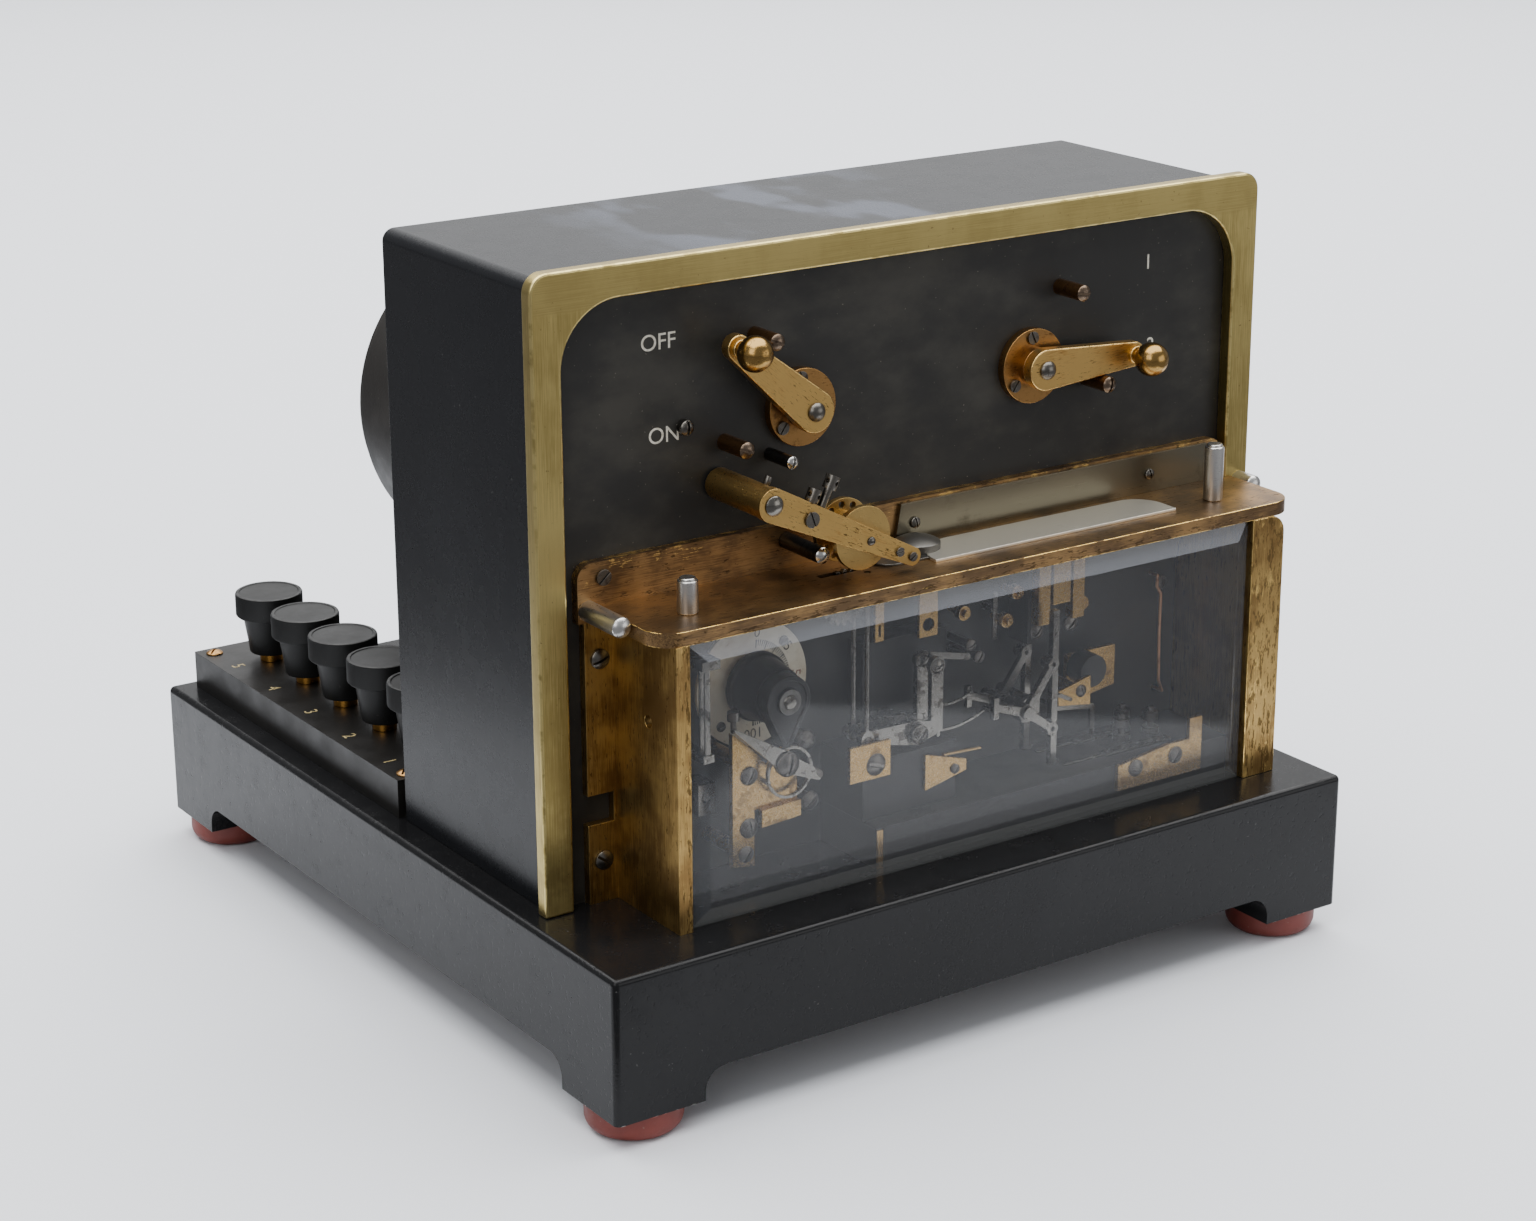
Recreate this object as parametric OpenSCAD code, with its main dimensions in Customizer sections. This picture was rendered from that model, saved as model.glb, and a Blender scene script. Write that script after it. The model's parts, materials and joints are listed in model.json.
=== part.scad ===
// Automatic telegraph transmitter: tape deck, contact mechanism behind glass, gear train and motor
// Places are measured from the plinth's middle (x), its front face (y) and its top face (z)

/* [Plinth] */
// Width of the plinth from left to right
base_w = 285; // [278:1:300]
// Depth of the plinth from front to back
base_d = 306; // [304:1:320]
// Height of the plinth without its rubber feet
plinth_h = 46.5; // [40:0.5:60]
// Rounding of the plinth's edges
plinth_round = 2; // [1:0.5:4]
// Wall thickness of the plinth's sides
plinth_wall = 9; // [8:1:16]
// Thickness of the plinth's top
plinth_top = 9; // [8:1:16]
// Width of each bracket foot at a corner
bracket_w = 31; // [28:1:40]
// Height of the open space between the bracket feet
apron_h = 10; // [6:1:14]
// Rounding where a bracket foot meets the apron
apron_round = 7; // [3:0.5:8]
// Thickness of the bottom board
bottom_t = 3.2; // [2:0.2:4]
// Radius of a rubber foot
foot_r = 15; // [10:0.5:15]
// Height of a rubber foot
foot_h = 9; // [6:0.5:14]
// Distance of a foot's centre from the plinth's sides
foot_inset = 15.4; // [15.1:0.1:18]

/* [Case] */
// Distance of the case's middle from the plinth's middle
case_x = 1.5; // [0:0.5:2]
// Height of the case above the plinth
case_h = 193.4; // [186:0.2:200]
// Distance of the case's front edge from the plinth's front
case_front = 54; // [54:1:54]
// Distance of the case's back from the plinth's front
case_back = 143.5; // [130:0.5:144]
// Sheet thickness of the case
case_t = 1.8; // [1:0.1:3]
// Rounding of the case's long top edges
case_round = 4; // [3.5:0.5:8]
// Radius of the shaft hole in the case's back
case_hole_r = 12; // [8:1:16]

/* [Bezel and panel] */
// Width of the bezel
bezel_w = 275; // [272:1:277]
// How far the bezel stands out past each side of the case
bezel_lap = 3.2; // [2:0.1:5]
// Height of the bezel above the plinth
bezel_h = 196.3; // [194:0.1:204]
// Thickness of the bezel
bezel_t = 5; // [3:0.5:6]
// Width of the bezel's side legs
bezel_leg = 10; // [8:0.5:11]
// Width of the bezel's top bar
bezel_bar = 10; // [8:0.5:14]
// Outer corner radius of the bezel
bezel_out_r = 6; // [4:0.5:8]
// Inner corner radius of the bezel
bezel_in_r = 20; // [12:1:26]
// Thickness of the engraved front panel
panel_t = 4; // [3:0.5:4]

/* [Tape deck] */
// Height of the deck's upper face above the plinth
deck_z = 94.3; // [92:0.1:96]
// Thickness of the deck plate
deck_t = 4.5; // [3:0.5:5]
// Distance from the bezel's left side to the deck's left end
deck_in_left = 21; // [21:0.5:24]
// Distance from the deck's right end to the bezel's right side
deck_in_right = 7.5; // [7.5:0.5:10]
// Front corner radius of the deck
deck_r = 9; // [5:0.5:12]
// Height of the upstand at the deck's back
flange_h = 13.7; // [10:0.1:16]
// Thickness of the upstand
flange_t = 3.2; // [2:0.1:4]
// Diameter of the guide pins
pin_d = 6.35; // [5:0.05:8]
// Length of the short upright guide pin
pin_short = 11; // [8:0.5:16]
// Length of the tall upright guide pin
pin_tall = 19; // [14:0.5:26]
// Length of the side pins
pin_side = 20.8; // [16:0.2:26]
// Length of the tape bed strip
bed_l = 97; // [80:1:110]
// Width of the tape bed strip
bed_w = 17; // [14:0.5:18]
// Length of the nickel silver back plate
guide_l = 126; // [110:1:128]
// Thickness of the nickel silver plates
nickel_t = 1.4; // [1:0.1:2]

/* [Posts and glass] */
// Distance of the glass and posts from the plinth's front
glass_y = 16.5; // [16.5:0.5:18]
// Thickness of the glass
glass_t = 4; // [4:0.5:4.5]
// Width of the glass bevel
bevel_w = 6; // [3:0.5:8]
// Depth of the glass bevel
bevel_d = 2.5; // [1:0.5:3]
// Distance from the bezel's left side to the left post's outer face
post_in_left = 26.6; // [26:0.1:28]
// Distance from the right post's inner face to the bezel's right side
post_in_right = 26; // [25:0.1:27]
// Thickness of the posts
post_t = 4.7; // [3:0.1:6]
// Width of a post's flange
post_flange = 10; // [8:0.5:10]

/* [Switches] */
// Distance of the motor switch's axis from the plinth's middle
motor_sw_x = -41; // [-44:0.5:-38]
// Distance of the key switch's axis from the plinth's middle
key_sw_x = 47.9; // [44:0.1:50]
// Height of both switch axes above the plinth
switch_z = 143.6; // [140:0.1:146]
// Radius of a switch flange
boss_r = 12.1; // [10:0.1:14]
// Length of a switch lever from its axis to its knob
lever_l = 36; // [32:0.5:36]
// Rest angle of the motor switch lever
motor_rest = 139.5; // [139:0.5:141]
// Diameter of a switch knob
knob_d = 11; // [8:0.1:11.4]
// Diameter of a stop pin
stop_d = 5.2; // [4:0.1:5.4]

/* [Tape presser] */
// Distance of the presser's axis from the plinth's middle
presser_x = -70.4; // [-72:0.1:-69]
// Height of the presser's axis above the plinth
presser_z = 124.2; // [123:0.1:126]
// Length of the presser arm
presser_l = 56.4; // [50:0.1:58]
// Slope of the presser arm below the level
presser_slope = 25.8; // [24:0.1:26]
// Diameter of the presser wheel
presser_wheel_d = 20; // [16:0.5:20]
// Distance from the arm's axis to the wheel's axis
presser_wheel_at = 39; // [38:0.5:40]

/* [Speed dial] */
// Distance of the dial's axis from the plinth's middle
dial_x = -60.8; // [-62:0.1:-59]
// Height of the dial's axis above the plinth
dial_z = 59.5; // [58:0.1:61]
// Radius of the graduated dial
dial_r = 20.2; // [18:0.2:22]

/* [Contact mechanism] */
// Sideways place of the pecker rods
pecker_x = -30.2; // [-31:0.1:-29.5]
// Diameter of a pecker rod
pecker_d = 1.5; // [1:0.1:1.8]
// Sideways place of the bell cranks' axis
crank_x = -10.3; // [-11:0.1:-10]
// Height of the bell cranks' axis
crank_z = 37.5; // [37:0.1:38]
// Sideways place of the rockers' axis
rocker_x = 33.2; // [33:0.1:34]
// Height of the rockers' axis
rocker_z = 35.4; // [35:0.1:36]
// Height of the insulating block below the mechanism
shelf_h = 13.5; // [10:0.5:13.5]
// Diameter of a wire
wire_d = 1.1; // [0.8:0.1:1.4]

/* [Gear train] */
// Tooth module of all gears
gear_m = 1; // [1:0.1:1]
// Teeth of the two large wheels
wheel_teeth = 48; // [44:4:48]
// Teeth of the two pinions
pinion_teeth = 16; // [16:1:16]
// Thickness of a gear
gear_t = 5; // [3:0.5:5]
// Sideways place of the star wheel's axis
star_x = -36; // [-36.5:0.1:-35.5]
// Height of the star wheel's axis
star_z = 86.3; // [86:0.1:86.6]

/* [Motor] */
// Sideways place of the motor's axis
motor_x = -30.5; // [-32:0.5:-28]
// Height of the motor's axis above the plinth
motor_z = 106; // [104:0.5:108]
// Outer radius of the motor's frame
yoke_r = 58.3; // [55:0.1:60]
// Front end of the motor's frame
yoke_front = 168; // [166:1:172]
// Back end of the motor's frame
yoke_back = 250; // [246:1:256]
// Radius of the rotor core
rotor_r = 30; // [26:0.5:30]

/* [Terminals] */
// Number of terminals
terminals = 5; // [5:1:5]
// Spacing of the terminals
terminal_pitch = 28.5; // [28:0.5:29]
// Height of the terminal block
block_h = 13; // [10:0.5:16]
// Width of the terminal block
block_w = 40; // [36:1:40]
// Radius of a terminal knob
term_r = 11.85; // [10:0.05:13]

/* [Hidden] */
$fn = 48;
// Clearances of shafts, of shanks, and of parts that lie face to face
fit = 0.05;
shank_gap = 0.1;
face_gap = 0.1;
// Overlap that joins two shapes of one piece
eps = 0.01;

brass = "#b08a4a";
old_brass = "#8a6a3a";
steel = "#a9a9a6";
black = "#2c2c2e";
nickel = "#b9b6a6";

// Heights above the plinth's top
top_z = foot_h + plinth_h;
deck_low = deck_z - deck_t;
flange_y = case_front - flange_t;
panel_back = case_front + panel_t;

// Ends of what stands between the bezel's sides
flange_out = 6.5;
flange_in = 3.1;
flange_r = 5;
guide_in = 7.4;
bezel_left = case_x - bezel_w / 2;
bezel_right = case_x + bezel_w / 2;
case_w = bezel_w - 2 * bezel_lap;
deck_left = bezel_left + deck_in_left;
deck_right = bezel_right - deck_in_right;
post_left = bezel_left + post_in_left;
post_right = bezel_right - post_in_right;
flange_left = deck_left - flange_out;
flange_right = deck_right - flange_in;
guide_x = flange_right - guide_in - guide_l;

// Switches: planes along the depth, and radii of what turns
lever_front = 44;
lever_t = 4;
lever_gap = 0.3;
boss_flange_t = 3;
boss_hub_r = 6.3;
spindle_r = 3;
spindle_end = 64;
lever_root_r = 6.7;
lever_tip_r = 4.1;
knob_y = 36;

// Stop pins seen from the front, and the turn of each slot
stop_front = 40.5;
stops = [[-56.6, 167.6], [-67.6, 136.3], [60, 167.2], [71.6, 135.9]];
stop_turns = [-25, -20, -8, 80];
post_pin = [-51.4, 130];
stud_pin = [-82.1, 143.3];
arm_rest = [-47.6, 102.9];

// Tape presser: planes along the depth, and radii
arm_front = 23.5;
arm_t = 3.5;
hub_r = 4.9;
arm_root_r = 5.2;
arm_tip_r = 2.9;
// how far the tip's round stands proud of the arm's straight sides
proud = 0.03;
presser_spindle_r = 2.6;
wheel_axle_r = 1.4;
wheel_front = 27.5;
wheel_back = 40;
wheel_t = 2;
wheel_hub_r = 6;

// Gears: planes along the depth, shafts and the distance between two axes
star_y = 36;
star_t = 1.6;
star_shaft_r = 2.2;
star_gear_y = 64;
idler_wheel_y = 74;
gear_plate_y = 84;
gear_plate_t = 3;
centre_dist = gear_m * (wheel_teeth + pinion_teeth) / 2;
motor_shaft_r = 3;

// Places of the axes seen from the front
presser_at = [presser_x, presser_z];
dial_at = [dial_x, dial_z];
crank_at = [crank_x, crank_z];
rocker_at = [rocker_x, rocker_z];
star_at = [star_x, star_z];
motor_at = [motor_x, motor_z];

// Angle of a line between two points seen from the front
function heading(a, b) = atan2(b[1] - a[1], b[0] - a[0]);
half_gap = norm(motor_at - star_at) / 2;
idler_at = (star_at + motor_at) / 2
  + sqrt(pow(centre_dist, 2) - pow(half_gap, 2))
  * [motor_z - star_z, star_x - motor_x] / (2 * half_gap);

// Terminals: the block, the row of studs, and a knob's stem and grip
block_x = -134;
block_front = 146;
block_back = 300;
term_x = -114.6;
term_first = 163;
function term_y(i) = term_first + i * terminal_pitch;
collar_r = 4.2;
collar_h = 3;
stud_r = 2.5;
stud_top = 20;
stud_tail = 6;
nut_under_h = 3.2;
knob_gap = 0.4;
stem_low_r = 7.6;
stem_top_r = 9.4;
grip_z = 17;
grip_h = 8.5;

// Places everything from the plinth's front face and top face
module at_datum() translate([0, -base_d / 2, top_z]) children();

// Turns an upright piece so that its top points to the front, and places it at p and depth y
module facing(p, y) translate([p[0], y, p[1]]) rotate([90, 0, 0]) children();

// A plate seen from the front, with its front face at y
module front_plate(y, t) translate([0, y + t, 0]) rotate([90, 0, 0]) linear_extrude(t) children();

// A block from depth y0 back to y1, its lower left corner at x and z
module block(x, z, w, h, y0, y1) translate([x, y0, z]) cube([w, y1 - y0, h]);

// A round bar along the depth, from y0 back to y1
module bar_y(p, r, y0, y1) translate([p[0], y0, p[1]]) rotate([-90, 0, 0]) cylinder(r = r, h = y1 - y0);

// A round pillar standing on the panel, its front end at y0
module pillar(p, r, y0) bar_y(p, r, y0, case_front);

// A round-ended bar between two points
module link2d(a, b, ra, rb) {
  d = norm(b - a);
  tilt = asin((ra - rb) / d);
  h = heading(a, b);
  translate(a) circle(ra);
  translate(b) circle(rb);
  n1 = h + 90 - tilt;
  n2 = h - 90 + tilt;
  polygon([a + ra * [cos(n1), sin(n1)], a + ra * [cos(n2), sin(n2)],
    b + rb * [cos(n2), sin(n2)], b + rb * [cos(n1), sin(n1)]]);
}

// A slotted screw standing on z = 0, its shank going down
module screw(head_r, head_h, shank_r, shank_l, turn = 0, dome = false) {
  ball_r = head_r * 1.5;
  slot_w = head_r * 0.26;
  slot_z = head_h * 0.45;
  difference() {
    union() {
      if (dome) intersection() {
        translate([0, 0, head_h - ball_r]) sphere(r = ball_r);
        cylinder(r = head_r, h = head_h);
      }
      else cylinder(r = head_r, h = head_h);
      translate([0, 0, -shank_l]) cylinder(r = shank_r, h = shank_l + eps);
    }
    rotate([0, 0, turn]) translate([-head_r - 1, -slot_w / 2, slot_z])
      cube([2 * head_r + 2, slot_w, head_h]);
  }
}

// Gear teeth: pressure angle, backlash, and height above and below the pitch circle in modules
pressure = 20;
backlash = 2.2;
addendum = 0.9;
dedendum = 1.25;

// Involute of a circle, in degrees, and half a tooth's angle at radius r
function inv(a) = tan(a) * 180 / PI - a;
function flank(r, rb, z) =
  (90 - backlash) / z + inv(pressure) - (r > rb ? inv(acos(rb / r)) : 0);
function gear_point(r, rb, z, c, side) =
  r * [cos(c + side * flank(r, rb, z)), sin(c + side * flank(r, rb, z))];

// A spur gear's outline with a tooth at angle zero
module gear2d(z) {
  rp = gear_m * z / 2;
  rb = rp * cos(pressure);
  ra = rp + gear_m * addendum;
  rf = rp - gear_m * dedendum;
  steps = [rf, max(rb, rf), rp, ra];
  polygon([for (i = [0:z - 1]) each concat(
    [for (r = steps) gear_point(r, rb, z, 360 * i / z, -1)],
    [for (k = [3:-1:0]) gear_point(steps[k], rb, z, 360 * i / z, 1)])]);
}

// Plinth

// Places of the feet, their screw holes and the recess for a screw's head
foot_places = [for (x = [-1, 1], y = [-1, 1])
  [x * (base_w / 2 - foot_inset), y * (base_d / 2 - foot_inset)]];
foot_shank_r = 2;
foot_hole_l = 22;
foot_round = foot_h / 2;
foot_recess_r = 4.5;
foot_recess_h = 3;

// Hollow under the plinth's top, with a ledge for the bottom board
cavity_w = base_w - 2 * plinth_wall;
cavity_d = base_d - 2 * plinth_wall;
corner_wall = 3;
ledge = 4;
board_gap = 0.3;

// Way for the wires up into the case, and the pocket below the terminals
case_wire = [60, 120];
wire_way_r = 6;
stud_hole_gap = 0.6;
pocket_side = 7;
pocket_w = 20;

// A box standing on z = 0 with rounded upright and top edges
module round_top_box(w, d, h, r) {
  translate([-w / 2 + r, -d / 2, 0]) cube([w - 2 * r, d, h - r]);
  translate([-w / 2, -d / 2 + r, 0]) cube([w, d - 2 * r, h - r]);
  translate([-w / 2 + r, -d / 2 + r, 0]) cube([w - 2 * r, d - 2 * r, h]);
  for (x = [-w / 2 + r, w / 2 - r], y = [-d / 2 + r, d / 2 - r])
    translate([x, y, 0]) {
      cylinder(r = r, h = h - r);
      translate([0, 0, h - r]) sphere(r = r);
    }
  for (x = [-w / 2 + r, w / 2 - r])
    translate([x, -d / 2 + r, h - r]) rotate([-90, 0, 0]) cylinder(r = r, h = d - 2 * r);
  for (y = [-d / 2 + r, d / 2 - r])
    translate([-w / 2 + r, y, h - r]) rotate([0, 90, 0]) cylinder(r = r, h = w - 2 * r);
}

// The gap between two bracket feet, seen square on
module apron_gap(w) {
  translate([-w / 2, -1]) square([w, apron_h + 1 - apron_round]);
  translate([-w / 2 + apron_round, -1]) square([w - 2 * apron_round, apron_h + 1]);
  for (x = [-w / 2 + apron_round, w / 2 - apron_round])
    translate([x, apron_h - apron_round]) circle(apron_round);
}

// The space under the plinth's top, clear of the corners
module plinth_hollow(h, grow) {
  inner = 2 * (bracket_w + corner_wall - grow);
  translate([-cavity_w / 2 - grow, -(base_d - inner) / 2, 0])
    cube([cavity_w + 2 * grow, base_d - inner, h]);
  translate([-(base_w - inner) / 2, -cavity_d / 2 - grow, 0])
    cube([base_w - inner, cavity_d + 2 * grow, h]);
}

module base_plinth() color(black)
  difference() {
    translate([0, 0, foot_h]) round_top_box(base_w, base_d, plinth_h, plinth_round);
    translate([0, 0, foot_h]) {
      translate([0, base_d, 0]) rotate([90, 0, 0])
        linear_extrude(2 * base_d) apron_gap(base_w - 2 * bracket_w);
      translate([-base_w, 0, 0]) rotate([90, 0, 90])
        linear_extrude(2 * base_w) apron_gap(base_d - 2 * bracket_w);
      translate([0, 0, apron_h]) plinth_hollow(plinth_h - plinth_top - apron_h, 0);
      translate([0, 0, apron_h - eps]) plinth_hollow(bottom_t + eps, ledge);
    }
    for (p = foot_places)
      translate([p[0], p[1], 0]) cylinder(r = foot_shank_r + shank_gap, h = foot_h + foot_hole_l);
    at_datum() {
      pocket_low = apron_h + bottom_t - plinth_h;
      pocket_d = 2 * pocket_side + (terminals - 1) * terminal_pitch;
      for (i = [0:terminals - 1])
        translate([term_x, term_y(i), -plinth_top - 1])
          cylinder(r = stud_r + stud_hole_gap, h = plinth_top + 2);
      translate([term_x - pocket_side, term_first - pocket_side, pocket_low])
        cube([pocket_w, pocket_d, -plinth_top - pocket_low]);
      translate([case_wire[0], case_wire[1], -plinth_top - 1])
        cylinder(r = wire_way_r, h = plinth_top + 2);
    }
  }

module bottom_board() color("#3a3026")
  translate([0, 0, foot_h + apron_h])
    difference() {
      plinth_hollow(bottom_t, ledge - board_gap);
      translate([0, 0, -1]) cylinder(r = wire_way_r, h = bottom_t + 2);
    }

module rubber_feet() color("#7a3b33")
  for (p = foot_places)
    translate([p[0], p[1], 0])
      difference() {
        rotate_extrude() {
          square([foot_r - foot_round, foot_h]);
          translate([0, foot_round]) square([foot_r, foot_h - foot_round]);
          translate([foot_r - foot_round, foot_round]) circle(foot_round);
        }
        translate([0, 0, -1]) cylinder(r = foot_shank_r + shank_gap, h = foot_h + 2);
        translate([0, 0, -1]) cylinder(r = foot_recess_r, h = foot_recess_h + 1);
      }

// Case

// Inner lip that the panel rests on: its thickness, its bite into the sheet and its width
lip_t = 2;
lip_bite = 0.5;
lip_side = 10;
lip_top = 9;
panel_gap = 0.2;

// An upright rectangle with rounded top corners, standing on y = 0
module arch2d(w, h, r) {
  translate([-w / 2, 0]) square([w, h - r]);
  translate([-w / 2 + r, 0]) square([w - 2 * r, h]);
  for (x = [-w / 2 + r, w / 2 - r]) translate([x, h - r]) circle(r);
}

module case_shell() color("#38383c")
  at_datum() difference() {
    translate([case_x, 0, 0]) {
      front_plate(case_front, case_back - case_front)
        difference() {
          arch2d(case_w, case_h, case_round);
          translate([0, -1])
            arch2d(case_w - 2 * case_t, case_h + 1 - case_t, case_round - case_t);
        }
      front_plate(case_back - case_t, case_t) arch2d(case_w, case_h, case_round);
      front_plate(panel_back, lip_t)
        difference() {
          arch2d(case_w - 2 * lip_bite, case_h - lip_bite, case_round - lip_bite);
          translate([lip_side - case_w / 2, -1])
            square([case_w - 2 * lip_side, case_h + 1 - lip_top]);
        }
    }
    bar_y(motor_at, case_hole_r, case_back - 10, case_back + 5);
  }

module brass_bezel() color(brass)
  at_datum() translate([case_x, 0, 0])
    front_plate(case_front - bezel_t, bezel_t)
      difference() {
        arch2d(bezel_w, bezel_h, bezel_out_r);
        translate([0, -1])
          arch2d(bezel_w - 2 * bezel_leg, bezel_h + 1 - bezel_bar, bezel_in_r);
      }

// Panel

// Screws round a switch boss: radius, distance from its axis and turn of each
boss_screw_r = 1.3;
boss_screw_at = 9.3;
boss_screw_turns = [95, 215, 335];
boss_spigot_r = boss_hub_r - 1.9;
switches_at = [[motor_sw_x, switch_z], [key_sw_x, switch_z]];

// Screws of the deck, the back plate and the posts, seen from the front
panel_screw_r = 1.5;
guide_head_r = 1.8;
deck_screws = [for (x = [flange_left + 8.8, flange_right - 3.4]) [x, 103]];
guide_screws = [for (x = [guide_x + 5.2, guide_x + guide_l - 25]) [x, 100.6]];
post_screws = [for (x = [post_left - 5, post_right + 9.5], z = [78, 13.8]) [x, z]];

// Pins that stand on the panel: their shank, the radius of the presser arm's rest, their slot
pin_shank_r = 1.5;
rest_r = 2.6;
pin_slot = 0.7;

// Spindles, studs and wires that pass through the panel
dial_shaft_r = 2.9;
dial_screw_r = 1;
dial_screws = [for (a = [45, 225]) dial_at + 16.5 * [cos(a), sin(a)]];
crank_spindle_r = 2;
rocker_spindle_r = 1.6;
wire_hole_in = 7.5;
wire_hole = [post_right - wire_hole_in, 22.9];
wire_hole_r = 1.2;
wire_screw = [post_right - 6.2, 60];
wire_screw_r = 1.2;

// Blind bearing of the idler's shaft in the panel's back
idler_shaft_r = 2.5;
idler_seat = 1.9;

module boss_screw_places()
  for (p = switches_at, a = boss_screw_turns)
    translate([p[0] + boss_screw_at * cos(a), 0, p[1] + boss_screw_at * sin(a)])
      rotate([0, -a, 0]) children();

module front_panel() color("#2b2b2b")
  at_datum() difference() {
    translate([case_x, 0, 0])
      front_plate(case_front, panel_t)
      arch2d(case_w - 2 * (case_t + panel_gap), case_h - case_t - panel_gap, case_round - case_t);
    boss_screw_places() bar_y([0, 0], boss_screw_r + shank_gap, case_front - 1, panel_back + 1);
    front_plate(case_front - 1, panel_t + 2) {
      for (p = switches_at) translate(p) circle(boss_spigot_r + shank_gap);
      for (p = concat(post_screws, deck_screws, guide_screws))
        translate(p) circle(panel_screw_r + shank_gap);
      for (p = concat(stops, [post_pin, stud_pin, arm_rest]))
        translate(p) circle(pin_shank_r + shank_gap);
      translate(presser_at) circle(presser_spindle_r + shank_gap);
      translate(star_at) circle(star_shaft_r + fit);
      translate(dial_at) circle(dial_shaft_r + shank_gap);
      for (p = dial_screws) translate(p) circle(dial_screw_r + shank_gap);
      translate(crank_at) circle(crank_spindle_r);
      translate(rocker_at) circle(rocker_spindle_r);
      translate(wire_hole) circle(wire_hole_r);
      translate(wire_screw) circle(wire_screw_r + shank_gap);
    }
    bar_y(idler_at, idler_shaft_r + fit, panel_back - idler_seat - shank_gap, panel_back + 1);
  }

module switch_bosses() color(old_brass)
  at_datum() difference() {
    for (p = switches_at) {
      bar_y(p, boss_r, case_front - boss_flange_t, case_front);
      bar_y(p, boss_hub_r, lever_front + lever_t + lever_gap, case_front);
      bar_y(p, boss_spigot_r, case_front - eps, panel_back + 2);
    }
    for (p = switches_at) bar_y(p, spindle_r + fit, lever_front, panel_back + 5);
    boss_screw_places() bar_y([0, 0], boss_screw_r + shank_gap, case_front - 5, case_front + 1);
  }

module panel_screws() color("#77756f")
  at_datum() {
    boss_screw_places() facing([0, 0], case_front - boss_flange_t)
      screw(2.1, 0.8, boss_screw_r, boss_flange_t + panel_t, 20);
    for (p = deck_screws)
      facing(p, flange_y) screw(2.5, 0.9, panel_screw_r, flange_t + panel_t, 40);
    for (p = guide_screws)
      facing(p, flange_y - nickel_t)
        screw(guide_head_r, 1.4, panel_screw_r, flange_t + nickel_t + panel_t, 100, true);
    for (p = post_screws)
      facing(p, case_front - post_flange_t)
        screw(3.1, 2, panel_screw_r, post_flange_t + panel_t, p[1] > 40 ? 20 : -35, true);
  }

// A brass pin with a slotted domed end, screwed into the panel
module slotted_pin(p, r, y0, turn) {
  difference() {
    union() {
      bar_y(p, r, y0 + r * 0.6, case_front);
      intersection() {
        translate([p[0], y0 + r * 1.3, p[1]]) sphere(r = r * 1.3);
        bar_y(p, r, y0, y0 + r * 1.3);
      }
      bar_y(p, pin_shank_r, case_front - eps, panel_back + 2);
    }
    facing(p, y0) rotate([0, 0, turn])
      translate([-r - 1, -pin_slot / 2, -1.2]) cube([2 * r + 2, pin_slot, 3]);
  }
}

module stop_pins() color(old_brass)
  at_datum() {
    for (i = [0:3]) slotted_pin(stops[i], stop_d / 2, stop_front, stop_turns[i]);
    slotted_pin(post_pin, 2, stop_front, 75);
    slotted_pin(stud_pin, 2.4, case_front - 3.4, 90);
    slotted_pin(arm_rest, rest_r, 30, 40);
  }

module presser_spindle() color(steel)
  at_datum() {
    bar_y(presser_at, presser_spindle_r, arm_front - 0.6, panel_back + 4);
    intersection() {
      translate([presser_x, arm_front + 3, presser_z]) sphere(r = 4.6);
      bar_y(presser_at, presser_spindle_r + 0.5, arm_front - 2, arm_front - 0.3);
    }
    bar_y(presser_at, 5, panel_back, panel_back + 4);
  }

// Tape deck

// Peckers and star wheel come up through the deck
pecker_front_y = 32.4;
pecker_rear_y = 39.6;
pecker_gap = 0.45;
star_slot_l = 18.8;
star_gap = 0.6;

// Guide pins, seen from above, and side pins, seen from the front
pin_spigot_r = 2;
pin_neck = 0.8;
short_pin = [deck_left + 19, 31];
tall_pin = [deck_right - 23.7, 31];
left_side_pin = [flange_left + 3.2, 93.7];
right_side_pin = [bezel_right - 4, 92.3];
right_pin_l = 9.5;

// Tape bed with rounded back corners, and the domed shoe at its left end with its flat tail
bed_x = -7.5;
bed_y = 28;
bed_t = 1;
bed_r = 10;
shoe_at = [-4.6, 41.6];
shoe_r = 7.3;
shoe_h = 5.2;
shoe_dome_r = 14;
tail_at = [-14, -3.6];
tail_r = 6;
tail_t = 0.8;

// The deck's outline from above, with a tongue under the upstand
module deck2d() {
  bezel_front = case_front - bezel_t - face_gap;
  translate([deck_left, glass_y + deck_r])
    square([deck_right - deck_left, bezel_front - glass_y - deck_r]);
  translate([deck_left + deck_r, glass_y])
    square([deck_right - deck_left - 2 * deck_r, bezel_front - glass_y]);
  for (x = [deck_left + deck_r, deck_right - deck_r])
    translate([x, glass_y + deck_r]) circle(deck_r);
  translate([deck_left, bezel_front - 1])
    square([flange_right - deck_left, case_front - bezel_front + 1]);
}

module tape_deck() color(old_brass)
  at_datum() difference() {
    union() {
      translate([0, 0, deck_low]) linear_extrude(deck_t) deck2d();
      front_plate(flange_y, flange_t)
        translate([(flange_left + flange_right) / 2, deck_low])
        arch2d(flange_right - flange_left, deck_t + flange_h, flange_r);
    }
    translate([0, 0, deck_low - 1]) linear_extrude(deck_t + 2) {
      translate([star_x - star_slot_l / 2, star_y - star_gap])
        square([star_slot_l, star_t + 2 * star_gap]);
      for (y = [pecker_front_y, pecker_rear_y])
        translate([pecker_x, y]) circle(pecker_d / 2 + pecker_gap);
      for (p = [short_pin, tall_pin]) translate(p) circle(pin_spigot_r);
    }
    front_plate(flange_y - 1, flange_t + 2) {
      for (p = concat(deck_screws, guide_screws)) translate(p) circle(panel_screw_r + shank_gap);
      translate(left_side_pin) circle(pin_spigot_r);
      translate(arm_rest) circle(rest_r + shank_gap);
    }
  }

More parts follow.
